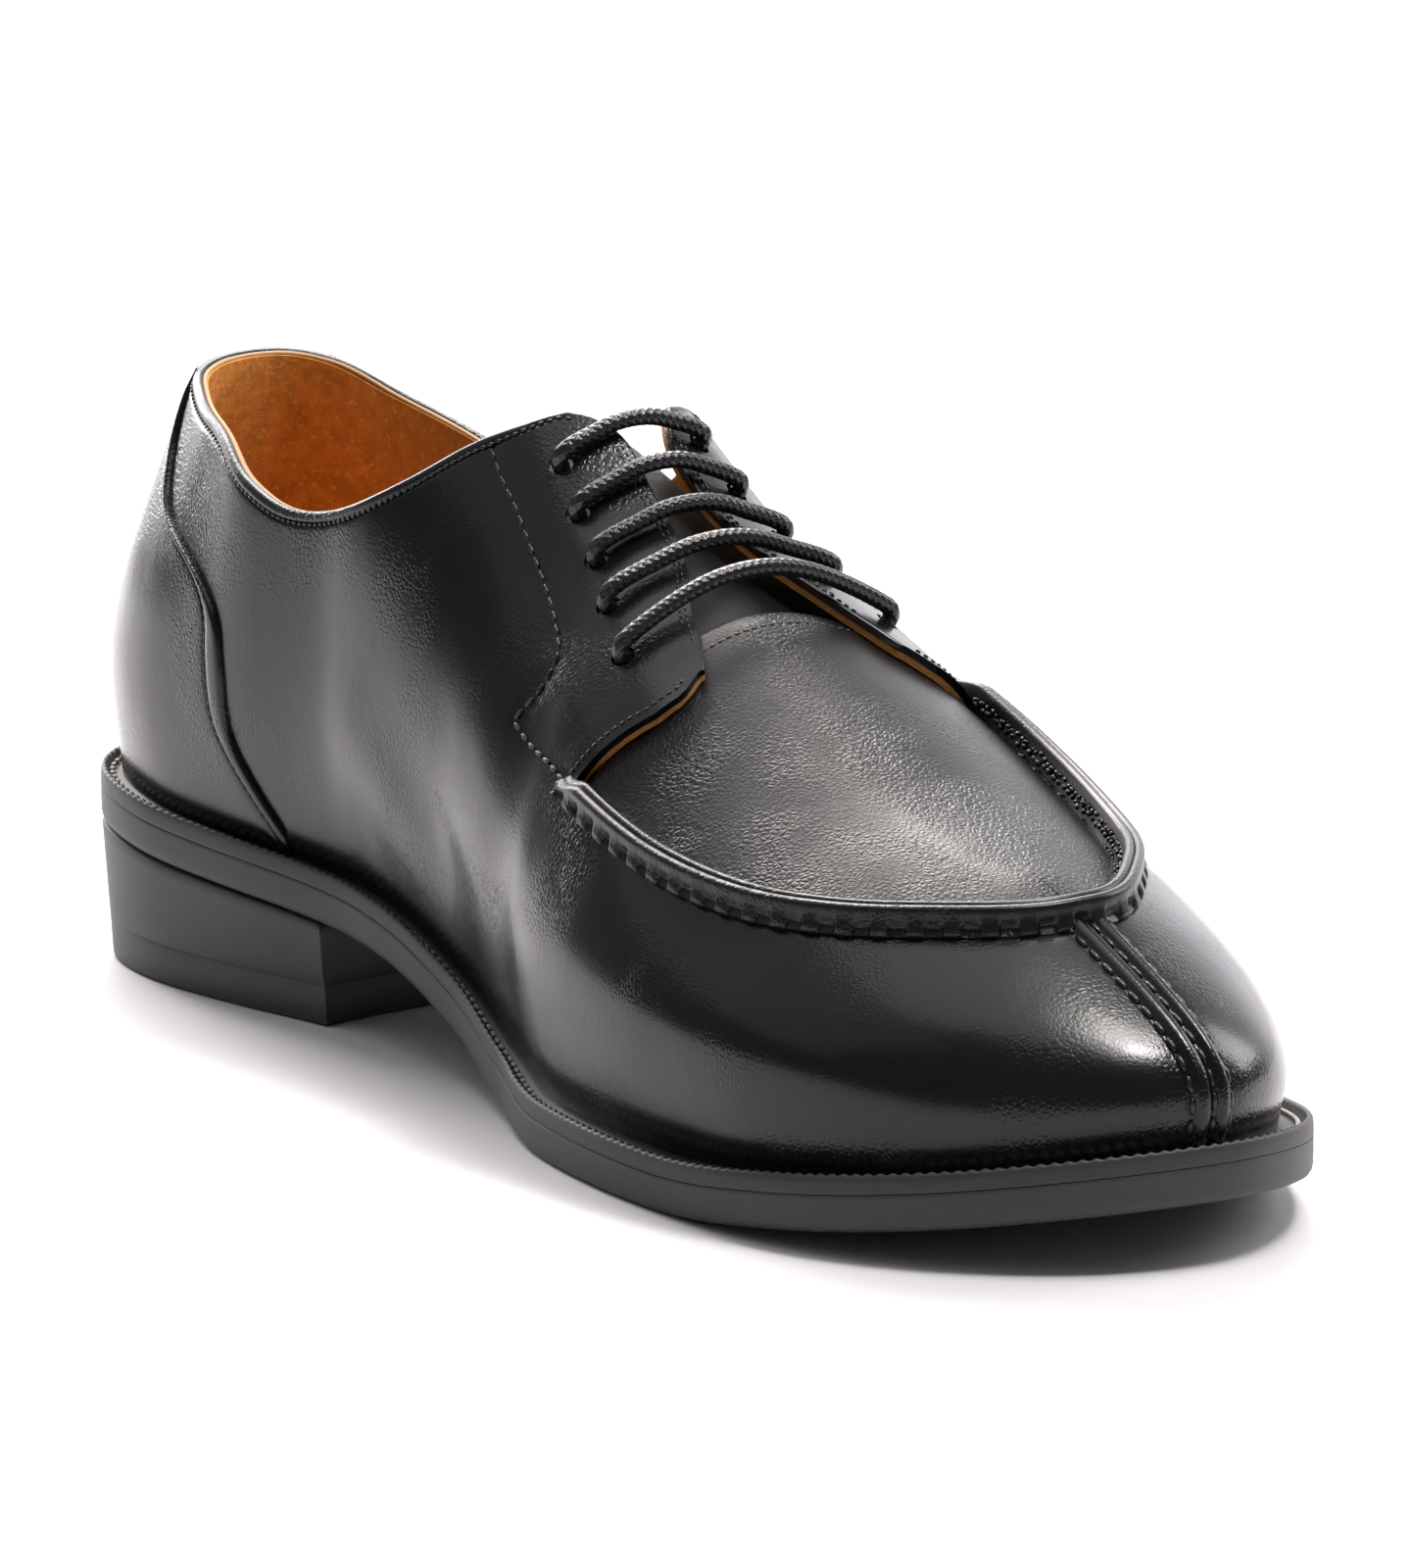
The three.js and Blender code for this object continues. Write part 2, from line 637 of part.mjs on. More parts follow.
// A slab that follows the last: a grid of places with an outer and an inner offset
function slab(places, outer, inner) {
  const rows = places.length;
  const columns = places[0].length;
  const positions = [];
  const index = [];
  [outer, inner].forEach((offset) => {
    places.forEach((row, i) => row.forEach((place, j) => {
      const at = skin(place.u, place.angle, offset(place, i, j));
      positions.push(at.x, at.y, at.z - (place.drop || 0));
    }));
  });
  const total = rows * columns;
  const at = (i, j) => i * columns + j;
  const quad = (a, b, c, d) => index.push(a, b, c, a, c, d);
  for (let i = 0; i < rows - 1; i += 1) {
    for (let j = 0; j < columns - 1; j += 1) {
      quad(at(i, j), at(i, j + 1), at(i + 1, j + 1), at(i + 1, j));
      quad(total + at(i, j), total + at(i + 1, j), total + at(i + 1, j + 1), total + at(i, j + 1));
    }
  }
  const rim = [];
  for (let j = 0; j < columns - 1; j += 1) {
    rim.push(at(0, j));
  }
  for (let i = 0; i < rows - 1; i += 1) {
    rim.push(at(i, columns - 1));
  }
  for (let j = columns - 1; j > 0; j -= 1) {
    rim.push(at(rows - 1, j));
  }
  for (let i = rows - 1; i > 0; i -= 1) {
    rim.push(at(i, 0));
  }
  rim.forEach((a, k) => {
    const b = rim[(k + 1) % rim.length];
    quad(b, a, total + a, total + b);
  });
  return solid(positions, index);
}

// A prism standing on a plan outline given in shares
function planPrism(points, from, to) {
  const shape = new THREE.Shape(points.map((p) => new THREE.Vector2(p.along * soleLength, p.across * ballWidth)));
  const geometry = new THREE.ExtrudeGeometry(shape, { depth: to - from, bevelEnabled: false });
  geometry.translate(0, 0, from);
  return solidOf(geometry);
}

// Levels of the outer form: the side, the raised apron seam and the apron let in behind it
const seamSide = 0.3;
const seamLean = 0.4;
const belowApron = [0, 0.1, 0.24, 0.4, 0.58, 0.78];
const aboveApron = [0, 0.25, 0.5, 0.75, 1];
function outerLevels(letIn) {
  return (u) => {
    const r = rib(u);
    const perDegree = lastPoint(u, r.apron + 1).distanceTo(lastPoint(u, r.apron - 1)) / 2;
    const half = apronSeamWidth / 2 / perDegree;
    const flank = seamSide / perDegree;
    const raised = apronSeamHeight * clamp((r.along - apronStart) / (apronFull - apronStart), 0, 1);
    const list = belowApron.map((share) => ({ angle: share * r.apron, out: 0 }));
    list.push({ angle: r.apron - half, out: 0 });
    list.push({ angle: r.apron - half + flank, out: 0, raised });
    list.push({ angle: r.apron + half - flank, out: 0, raised });
    aboveApron.forEach((share) => {
      const angle = r.apron + half + (90 - r.apron - half) * share;
      list.push({ angle, out: letIn ? -apronDepth(r.along, 0.48, 0.53) : facingRise(r, angle) });
    });
    return list;
  };
}

// How far the lining lies inside the last
const apronFade = 3;
const liningDepth = (r, angle) => {
  const inApron = smoothstep(r.apron - apronFade, r.apron + apronFade, angle);
  return upperWall + apronDepth(r.along, 0.54, 0.58) * inApron;
};
const liningBelow = [0, 0.2, 0.45, 0.75];
const liningAbove = [0, 0.35, 0.7, 1];
function innerLevels(u) {
  const r = rib(u);
  const top = r.apron + apronFade;
  const angles = liningBelow.map((share) => share * r.apron);
  angles.push(r.apron - apronFade);
  liningAbove.forEach((share) => angles.push(top + (90 - top) * share));
  return angles.map((angle) => ({ angle, out: -liningDepth(r, angle) }));
}

// Place on the last's upper half over a point given in plan, between the heel and toe fans
const topFrom = 20;
function placeAt(along, across) {
  const x = along * soleLength;
  const y = across * ballWidth;
  const u = sideU(x, across < 0);
  let low = topFrom;
  let high = 90;
  for (let i = 0; i < 40; i += 1) {
    const middle = (low + high) / 2;
    const reach = lastPoint(u, middle).y - y;
    if ((across < 0 ? -reach : reach) > 0) {
      low = middle;
    } else {
      high = middle;
    }
  }
  return { u, angle: (low + high) / 2 };
}

// Sole
const outsole = layer(() => 0, (x, side) => underside(x) + side * outsoleThickness, lastPair);

// Welt: the ledge all round, with the upper's foot standing inside it
const weltBody = layer(() => 0, (x, side) => soleTop(x) + side * weltThickness, lastPair);
const weltHole = layer(
  (foot) => foot.edge.ledge - clearance,
  (x, side) => soleTop(x) + (side * 3 - 1) * weltThickness,
  lastPair,
);
const welt = weltBody.subtract(weltHole);

// Heel block, tapering to the floor, with a hollow breast
const heelEndPair = ribXs.findIndex((x) => x > heelLength + 12);
const heelBlock = layer(
  (foot, side) => (side === 0 ? heelTaper : 0),
  (x, side) => (side === 0 ? 0 : underside(x) - clearance),
  heelEndPair,
);
const breastRadius = (heelWidth * heelWidth) / (8 * breastHollow);
const breastReach = heelWidth * 0.75;
const breastTurn = Math.asin(breastReach / breastRadius);
const breastCut = new THREE.Shape();
breastCut.absarc(
  heelLength - breastHollow + breastRadius,
  0,
  breastRadius,
  Math.PI + breastTurn,
  Math.PI - breastTurn,
  true,
);
breastCut.lineTo(heelLength * 2, breastReach);
breastCut.lineTo(heelLength * 2, -breastReach);
const breastGeometry = new THREE.ExtrudeGeometry(breastCut, {
  depth: heelHeight * 2,
  bevelEnabled: false,
  curveSegments: 10,
});
breastGeometry.translate(0, 0, -heelHeight / 2);
const heel = heelBlock.subtract(solidOf(breastGeometry));

// Insole: lies on the sole inside the foot of the upper
const insole = layer(
  (foot) => foot.edge.ledge + upperWall + clearance,
  (x, side) => soleTop(x) + side * insoleThickness,
  lastPair,
);

// Upper: sides with the apron let in, the facings lapped over it, the counter and the toe seam
const sides = lastForm(outerLevels(true), 0);
const lapped = lastForm(outerLevels(false), 0);
const prismFrom = instepHeight * 0.4;
const prismTo = instepHeight * 2;
const facingPlan = (edge, side) => planPrism(
  [
    ...edge,
    { along: edge[edge.length - 1].along, across: side * facingRear.across },
    { along: facingRear.along, across: side * facingRear.across },
    { along: facingRear.along, across: side * facingRear.middle },
    { along: edge[0].along, across: side * facingRear.middle },
  ],
  prismFrom,
  prismTo,
);
const facings = lapped.intersect(facingPlan(innerFacingEdge, -1).add(facingPlan(outerFacingEdge, 1)));

// Counter: a raised piece round the back of the heel
const counterColumns = 12;
const counterPlaces = counterRows.map((row) => {
  const from = sideU(row.front * soleLength, true);
  const to = sideU(row.front * soleLength, false) - 1;
  const places = [];
  for (let j = 0; j <= counterColumns; j += 1) {
    places.push({ u: to + ((from - to) * j) / counterColumns, angle: row.angle });
  }
  return places;
});
const counter = slab(counterPlaces, () => counterStep, () => -upperWall / 2);

// Split toe seam: two raised cords with a groove between them, from the welt up to the apron seam
const cordProfile = [
  { across: -0.52, out: -0.35 },
  { across: -0.44, out: 1 },
  { across: -0.14, out: 1 },
  { across: 0, out: 0.15 },
  { across: 0.14, out: 1 },
  { across: 0.44, out: 1 },
  { across: 0.52, out: -0.35 },
];
const toeApron = rib(toeU).apron;
const toeSeamAngles = [2, 10, 20, 30, 40, 50, toeApron - 1];
const toePlaces = toeSeamAngles.map((angle) => {
  const perTurn = lastPoint(toeU + 1e-3, angle).distanceTo(lastPoint(toeU - 1e-3, angle)) / 2e-3;
  return cordProfile.map((cord) => ({
    u: toeU + (cord.across * toeSeamWidth + toeSeamShift) / perTurn,
    angle,
    out: cord.out * toeSeamHeight,
  }));
});
const toeSeam = slab(toePlaces, (place) => place.out, () => -upperWall / 2);

// Topline: everything above it is cut away, lower on the outer side
function toplineCut() {
  const inner = through(toplineRows, 'along', 'inner');
  const outer = through(toplineRows, 'along', 'outer');
  const backTop = soleTop(0) + weltThickness;
  const high = backTop + collarHeight * 2;
  const wide = ballWidth * 0.7;
  const wallReach = heelWidth * 0.42;
  const positions = [];
  const index = [];
  const steps = 34;
  const first = toplineRows[0].along;
  const reach = toplineRows[toplineRows.length - 1].along - first;
  for (let i = 0; i <= steps; i += 1) {
    const along = first + (reach * i) / steps;
    const mean = (inner(along) + outer(along)) / 2;
    const tilt = ((outer(along) - inner(along)) / 2) * (wide / wallReach);
    const x = along * soleLength;
    positions.push(x, -wide, backTop + collarHeight * (mean - tilt));
    positions.push(x, wide, backTop + collarHeight * (mean + tilt));
    positions.push(x, wide, high);
    positions.push(x, -wide, high);
  }
  for (let i = 0; i < steps; i += 1) {
    for (let k = 0; k < 4; k += 1) {
      const a = 4 * i + k;
      const b = 4 * i + ((k + 1) % 4);
      index.push(a, b + 4, a + 4, a, b, b + 4);
    }
  }
  const end = 4 * steps;
  index.push(0, 2, 1, 0, 3, 2);
  index.push(end, end + 1, end + 2, end, end + 2, end + 3);
  return solid(positions, index);
}

// Throat: the gap between the facings, down to the rear edge of the apron
const throatEdges = [
  ...innerFacingEdge.slice(0, throatPoints),
  { along: vampRearEdge, across: innerFacingEdge[throatPoints - 1].across - 0.01 },
  { along: vampRearEdge, across: outerFacingEdge[throatPoints - 2].across + 0.02 },
  ...outerFacingEdge.slice(0, throatPoints - 1).reverse(),
];
const throat = planPrism(throatEdges, prismFrom, prismTo);

// Eyelets: round holes along the normal of the facings
const eyelets = [];
eyeletRows.forEach((row) => {
  eyelets.push({
    inner: placeAt(row.innerAlong, row.innerAcross),
    outer: placeAt(row.outerAlong, row.outerAcross),
    arch: row.arch,
  });
});
const eyeletDrill = 16;
const eyeletSides = 10;
function eyeletHole(place) {
  const geometry = new THREE.CylinderGeometry(eyeletDiameter / 2, eyeletDiameter / 2, eyeletDrill, eyeletSides);
  const turn = new THREE.Quaternion().setFromUnitVectors(new THREE.Vector3(0, 1, 0), lastNormal(place.u, place.angle));
  geometry.applyQuaternion(turn);
  const middle = skin(place.u, place.angle, 0);
  geometry.translate(middle.x, middle.y, middle.z);
  return solidOf(geometry);
}

let upper = sides.add(facings).add(counter).add(toeSeam);
upper = upper.subtract(lastForm(innerLevels, seatHeight));
upper = upper.subtract(toplineCut()).subtract(throat);
eyelets.forEach((pair) => {
  upper = upper.subtract(eyeletHole(pair.inner)).subtract(eyeletHole(pair.outer));
});

// Tongue: under the facings and the rear edge of the apron, sinking towards the collar
const tongueDrop = through(tongueRows, 'along', 'drop');
const tongueEdge = through(tongueRows, 'along', 'edge');
const tongueLengthSteps = 9;
const tongueSideSteps = 4;
const tonguePlaces = [];
for (let i = 0; i <= tongueLengthSteps; i += 1) {
  const first = tongueRows[0].along;
  const along = first + ((tongueRows[tongueRows.length - 1].along - first) * i) / tongueLengthSteps;
  const row = [];
  for (let j = -tongueSideSteps; j <= tongueSideSteps; j += 1) {
    const angle = 90 - ((90 - tongueEdge(along)) * Math.abs(j)) / tongueSideSteps;
    row.push({ u: sideU(along * soleLength, j > 0), angle, drop: tongueDrop(along) * instepHeight });
  }
  tonguePlaces.push(row);
}
const tongueOut = (place) => -liningDepth(rib(place.u), place.angle) - clearance;
const tongueSheet = slab(
  tonguePlaces,
  (place) => tongueOut(place) + clearance / 3,
  (place) => tongueOut(place) - tongueThickness,
);
const insideLining = (u) => innerLevels(u).map((level) => ({ angle: level.angle, out: level.out - clearance }));
const tongue = tongueSheet.intersect(lastForm(insideLining, 0));

// Lace bars: out of one eyelet, over the facings and the gap between them, into the other
const overFacing = (place, out) => skin(place.u, place.angle, out + facingRise(rib(place.u), place.angle));
function laceBar(pair) {
  const from = lastPoint(pair.inner.u, pair.inner.angle);
  const to = lastPoint(pair.outer.u, pair.outer.angle);
  const length = from.distanceTo(to);
  const point = (share, lift) => {
    const plan = from.clone().lerp(to, share);
    return overFacing(placeAt(plan.x / soleLength, plan.y / ballWidth), lift);
  };
  const lift = laceDiameter / 2 + clearance;
  const path = new THREE.CatmullRomCurve3([
    ...laceMouth.map((row) => point(row.out / length, row.lift)),
    ...laceSpan.map((row) => point(row.across, lift + row.arch * pair.arch)),
    ...laceMouth.map((row) => point(1 - row.out / length, row.lift)).reverse(),
  ], false, 'centripetal');
  const section = new THREE.Shape();
  section.absarc(0, 0, laceDiameter / 2, 0, 2 * Math.PI, false);
  const geometry = new THREE.ExtrudeGeometry(section, {
    steps: laceSteps,
    curveSegments: 2 * laceQuarterSides,
    extrudePath: path,
    bevelEnabled: false,
  });
  return solidOf(geometry);
}

// Colours and finish of the materials
const finish = (color, roughness) => new THREE.MeshStandardMaterial({ color, roughness, metalness: 0 });
const blackCalf = finish(0x1c1c20, 0.25);
const blackEdge = finish(0x2a2a2c, 0.45);
const tanLining = finish(0xa5622a, 0.8);
const waxedLace = finish(0x17171a, 0.5);

const shoe = new THREE.Group();
function place(name, body, material) {
  const mesh = new THREE.Mesh(geometryOf(body), material);
  mesh.name = name;
  shoe.add(mesh);
}
place('outsole', outsole, blackEdge);
place('welt', welt, blackEdge);
place('heel', heel, blackEdge);
place('insole', insole, tanLining);
place('upper', upper, blackCalf);
place('tongue', tongue, blackCalf);
eyelets.forEach((pair, i) => place(`lace_bar_${i + 1}`, laceBar(pair), waxedLace));

// The origin lies on the floor under the middle of the shoe
const box = new THREE.Box3().setFromObject(shoe);
shoe.position.set(-(box.min.x + box.max.x) / 2, -(box.min.y + box.max.y) / 2, 0);

export default shoe;
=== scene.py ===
"""Split toe derby, one left shoe: panels, seams, laces, sole, materials, light and camera."""
import math
from functools import partial

import bmesh
import bpy
import numpy as np
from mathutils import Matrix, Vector


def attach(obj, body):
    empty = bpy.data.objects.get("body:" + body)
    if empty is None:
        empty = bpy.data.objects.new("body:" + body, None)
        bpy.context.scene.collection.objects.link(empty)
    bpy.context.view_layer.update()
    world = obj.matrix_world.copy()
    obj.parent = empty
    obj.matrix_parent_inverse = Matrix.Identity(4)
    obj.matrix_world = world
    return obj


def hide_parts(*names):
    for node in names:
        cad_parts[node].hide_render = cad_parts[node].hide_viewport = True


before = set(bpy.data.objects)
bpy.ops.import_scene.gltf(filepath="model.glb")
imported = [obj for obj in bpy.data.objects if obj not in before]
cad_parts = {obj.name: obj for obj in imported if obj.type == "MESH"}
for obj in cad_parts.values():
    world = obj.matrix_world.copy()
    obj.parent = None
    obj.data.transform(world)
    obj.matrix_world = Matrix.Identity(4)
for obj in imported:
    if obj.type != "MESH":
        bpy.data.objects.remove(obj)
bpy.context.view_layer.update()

bl_info = {
    "name": "Split toe derby",
    "version": (1, 0, 0),
    "blender": (4, 5, 0),
    "location": "View3D > Sidebar > Derby",
    "description": "Builds the leather, seams, laces and sole of a split toe derby shoe",
    "category": "Add Mesh",
}

# Millimetres and degrees are used for all shapes; a mesh is turned into metres when it is made.
# x runs from heel to toe, y to the outer side of this left shoe, z up from the floor.
SOLE_LENGTH = 307.0
BALL_WIDTH = 111.4
HEEL_WIDTH = 68.0
HEEL_HEIGHT = 26.0
TOE_SPRING = 10.6
OUTSOLE_THICKNESS = 5.9
WELT_THICKNESS = 2.6
WELT_LEDGE = 6.5
HEEL_LENGTH = 85.5
HEEL_TAPER = 1.8
BREAST_HOLLOW = 3.5
INSTEP_HEIGHT = 98.0
COLLAR_HEIGHT = 71.0
UPPER_WALL = 2.4
APRON_STEP = 1.4
FACING_LIFT = 1.0
SEAM_LEAN = 0.4
TOE_SEAM_SHIFT = -1.4
INSOLE_THICKNESS = 2.4
TONGUE_THICKNESS = 2.0
CLEARANCE = 0.3
FLAT_FROM, FLAT_FULL = 54.0, 80.0
HEEL_CROWN = (0.156, 0.326)
TOE_CROWN = (0.827, 0.651)
VAMP_REAR = 0.588
SEAT_HEIGHT = OUTSOLE_THICKNESS + CLEARANCE
FEATHER_HEIGHT = SEAT_HEIGHT + WELT_THICKNESS + CLEARANCE
LEATHER_THICKNESS = 1.3
LEATHER_EDGE = 0.7
LINING_DEPTH = 1.34
FOOT_HEIGHT = 1.9
TOPLINE_STITCH_DROP = 2.05
SEAM_LINE_STATIONS = 1300
TOPLINE_STATIONS = 700
LACE_STATIONS = 210

# Columns: along, across, ledge
OUTLINE = np.array([
    (0.002, 0.022, 0.69),
    (0.015, -0.213, 0.69),
    (0.050, -0.385, 0.69),
    (0.116, -0.463, 0.69),
    (0.195, -0.447, 0.65),
    (0.274, -0.394, 0.58),
    (0.355, -0.371, 0.54),
    (0.436, -0.337, 0.55),
    (0.515, -0.361, 0.69),
    (0.593, -0.434, 0.80),
    (0.664, -0.474, 0.89),
    (0.733, -0.490, 0.95),
    (0.805, -0.485, 0.98),
    (0.876, -0.434, 0.95),
    (0.940, -0.325, 0.86),
    (0.984, -0.172, 0.80),
    (1.000, -0.009, 0.78),
    (0.989, 0.115, 0.80),
    (0.956, 0.233, 0.86),
    (0.902, 0.341, 0.93),
    (0.830, 0.427, 0.98),
    (0.749, 0.483, 0.95),
    (0.666, 0.508, 0.92),
    (0.581, 0.504, 0.85),
    (0.484, 0.494, 0.77),
    (0.375, 0.562, 0.69),
    (0.277, 0.562, 0.65),
    (0.195, 0.535, 0.69),
    (0.114, 0.509, 0.69),
    (0.047, 0.421, 0.69),
    (0.011, 0.244, 0.69),
])
# Columns: along, ball
WIDTH = np.array([
    (0.30, 0),
    (0.36, 0.145),
    (0.425, 0.5),
    (0.49, 0.855),
    (0.55, 1),
])
# Columns: along, heel, spring
UNDERSIDE = np.array([
    (0.000, 1.000, 0),
    (0.130, 0.858, 0),
    (0.254, 0.731, 0),
    (0.342, 0.600, 0),
    (0.440, 0.315, 0),
    (0.528, 0.077, 0),
    (0.605, 0.000, 0),
    (0.725, 0.000, 0),
    (0.831, 0.000, 0.245),
    (0.919, 0.000, 0.585),
    (1.000, 0.000, 1),
])
# Columns: along, rise, across
CROWN = np.array([
    (0.130, 1.292, 0.027),
    (0.228, 1.296, 0.027),
    (0.326, 1.220, 0.024),
    (0.397, 1.092, 0.017),
    (0.443, 1.025, 0.007),
    (0.489, 0.952, 0.000),
    (0.537, 0.885, -0.004),
    (0.586, 0.800, -0.008),
    (0.619, 0.744, -0.009),
    (0.668, 0.667, -0.013),
    (0.733, 0.580, -0.018),
    (0.798, 0.498, -0.020),
    (0.853, 0.430, -0.022),
])
# Columns: along, flat
INSTEP = np.array([
    (0.385, 0),
    (0.430, 2.2),
    (0.463, 3.2),
    (0.500, 4.1),
    (0.545, 3.9),
    (0.578, 2.0),
    (0.625, 0),
])
# Columns: along, a10, a22, a36, a50, a64, a78
INNER_SIDE = np.array([
    (0.000, 1.045, 0.88, 0.64, 0.47, 0.32, 0.16),
    (0.065, 1.050, 0.89, 0.65, 0.48, 0.33, 0.16),
    (0.147, 1.090, 1.00, 0.79, 0.59, 0.40, 0.19),
    (0.244, 1.200, 1.24, 1.14, 0.88, 0.58, 0.27),
    (0.342, 1.240, 1.30, 1.23, 0.96, 0.60, 0.28),
    (0.423, 1.180, 1.22, 1.13, 0.90, 0.62, 0.31),
    (0.505, 1.130, 1.15, 1.02, 0.78, 0.52, 0.25),
    (0.603, 1.090, 1.09, 0.96, 0.78, 0.53, 0.25),
    (0.700, 1.070, 1.09, 0.97, 0.78, 0.52, 0.25),
    (0.798, 1.050, 1.07, 0.95, 0.76, 0.52, 0.25),
    (0.896, 1.030, 1.01, 0.89, 0.70, 0.47, 0.22),
    (1.000, 1.030, 0.99, 0.84, 0.64, 0.42, 0.19),
])
# Columns: along, a10, a22, a36, a50, a64, a78
OUTER_SIDE = np.array([
    (0.000, 1.045, 0.88, 0.64, 0.47, 0.32, 0.16),
    (0.065, 1.050, 0.89, 0.66, 0.48, 0.33, 0.16),
    (0.147, 1.060, 0.97, 0.79, 0.60, 0.40, 0.19),
    (0.244, 1.080, 1.00, 0.88, 0.70, 0.47, 0.23),
    (0.342, 1.070, 0.99, 0.85, 0.65, 0.42, 0.20),
    (0.423, 1.060, 0.98, 0.82, 0.61, 0.40, 0.20),
    (0.505, 1.060, 1.00, 0.84, 0.62, 0.39, 0.19),
    (0.603, 1.060, 1.03, 0.91, 0.72, 0.48, 0.23),
    (0.700, 1.060, 1.05, 0.93, 0.74, 0.50, 0.24),
    (0.798, 1.040, 1.04, 0.92, 0.73, 0.50, 0.24),
    (0.896, 1.030, 1.00, 0.88, 0.69, 0.46, 0.22),
    (1.000, 1.030, 0.99, 0.84, 0.64, 0.42, 0.19),
])
# Columns: along, inner, outer
APRON = np.array([
    (0.489, 36, 42),
    (0.603, 40, 49),
    (0.668, 42, 51),
    (0.733, 45, 53.5),
    (0.814, 51, 57.5),
    (0.896, 59.5, 64),
    (1.000, 69, 69),
])
# Columns: along, inner, outer
TOPLINE = np.array([
    (-0.05, 1.000, 1.000),
    (0.055, 0.995, 0.995),
    (0.080, 0.978, 0.960),
    (0.115, 0.940, 0.885),
    (0.168, 0.895, 0.815),
    (0.219, 0.812, 0.755),
    (0.266, 0.770, 0.725),
    (0.323, 0.812, 0.760),
    (0.373, 0.915, 0.860),
    (0.406, 1.012, 0.975),
    (0.430, 1.070, 1.040),
    (0.456, 1.160, 1.085),
    (0.500, 1.420, 1.300),
])
# Columns: along, across
INNER_FACING = np.array([
    (0.400, -0.108),
    (0.432, -0.110),
    (0.446, -0.070),
    (0.459, -0.038),
    (0.473, -0.025),
    (0.497, -0.033),
    (0.518, -0.040),
    (0.543, -0.061),
    (0.577, -0.113),
    (0.607, -0.153),
    (0.619, -0.180),
    (0.624, -0.215),
    (0.620, -0.260),
    (0.608, -0.305),
    (0.590, -0.345),
    (0.570, -0.400),
])
# Columns: along, across
OUTER_FACING = np.array([
    (0.400, 0.110),
    (0.430, 0.112),
    (0.449, 0.084),
    (0.468, 0.052),
    (0.489, 0.038),
    (0.521, 0.045),
    (0.547, 0.066),
    (0.573, 0.102),
    (0.602, 0.148),
    (0.618, 0.190),
    (0.624, 0.235),
    (0.622, 0.280),
    (0.614, 0.325),
    (0.600, 0.360),
    (0.575, 0.410),
])
# Columns: angle, front
COUNTER = np.array([
    (1.5, 0.240),
    (4, 0.226),
    (9, 0.206),
    (14, 0.204),
    (18, 0.196),
    (20.5, 0.170),
    (23, 0.122),
    (27, 0.096),
    (34, 0.082),
    (44, 0.074),
])
# Columns: inner along, inner across, outer along, outer across, arch
EYELETS = np.array([
    (0.460, -0.131, 0.466, 0.108, 0),
    (0.485, -0.147, 0.492, 0.126, 0.4),
    (0.512, -0.165, 0.521, 0.150, 0.4),
    (0.541, -0.196, 0.550, 0.180, 0.4),
    (0.574, -0.230, 0.583, 0.216, 1.8),
])
# Columns: out, lift
LACE_MOUTH = np.array([
    (0, -0.5),
    (0, 0.9),
    (0.8, 2.1),
    (2.6, 2.4),
])
# Columns: across, arch
LACE_SPAN = np.array([
    (0.22, 0.6),
    (0.36, 0.9),
    (0.5, 1),
    (0.64, 0.9),
    (0.78, 0.6),
])
# Columns: along, drop, edge
TONGUE = np.array([
    (0.394, 0.185, 58),
    (0.417, 0.142, 54),
    (0.449, 0.097, 52),
    (0.489, 0.050, 51),
    (0.537, 0.027, 50),
    (0.573, 0.008, 50),
    (0.606, 0.000, 52),
])


def smooth(low, high, value):
    """0 below low, 1 above high, and 3t^2 - 2t^3 between them."""
    t = np.clip((value - low) / (high - low), 0.0, 1.0)
    return t * t * (3.0 - 2.0 * t)


def steady(table, column):
    """A curve through one column of a table against its first: cubic pieces whose slopes are
    the weighted means of their neighbours' grades, held to three times the smaller one."""
    xs, ys = table[:, 0], table[:, column]
    step = np.diff(xs)
    grade = np.diff(ys) / step
    mean = (step[1:] * grade[:-1] + step[:-1] * grade[1:]) / (step[:-1] + step[1:])
    limit = 3.0 * np.minimum(np.abs(grade[:-1]), np.abs(grade[1:]))
    inner = np.where(grade[:-1] * grade[1:] <= 0, 0.0, np.sign(mean) * np.minimum(np.abs(mean), limit))
    slope = np.concatenate([grade[:1], inner, grade[-1:]])

    def curve(value):
        x = np.clip(value, xs[0], xs[-1])
        i = np.clip(np.searchsorted(xs, x, side="right") - 1, 0, len(xs) - 2)
        t = (x - xs[i]) / step[i]
        s = 1.0 - t
        return (ys[i] * s * s * (1 + 2 * t) + slope[i] * step[i] * t * s * s
                + ys[i + 1] * t * t * (3 - 2 * t) - slope[i + 1] * step[i] * t * t * s)

    return curve


def round_curve(rows, u):
    """A closed curve through the rows, one cubic piece between each two: p(t) with the slope
    (next - previous) / 2 at every row."""
    place = (u % 1.0) * len(rows)
    i = np.floor(place).astype(int)
    t = (place - i)[:, None]
    a, b, c, d = (rows[(i + k) % len(rows)] for k in (-1, 0, 1, 2))
    return 0.5 * (2 * b + (c - a) * t + (2 * a - 5 * b + 4 * c - d) * t**2
                  + (3 * b - a - 3 * c + d) * t**3)


def soften(values, spread):
    """Rounds a closed row of samples off: a bell curve of the given spread, in samples."""
    turns = np.fft.rfftfreq(values.shape[-1])
    bell = np.exp(-2.0 * (np.pi * turns * spread) ** 2)
    return np.fft.irfft(np.fft.rfft(values) * bell, values.shape[-1])


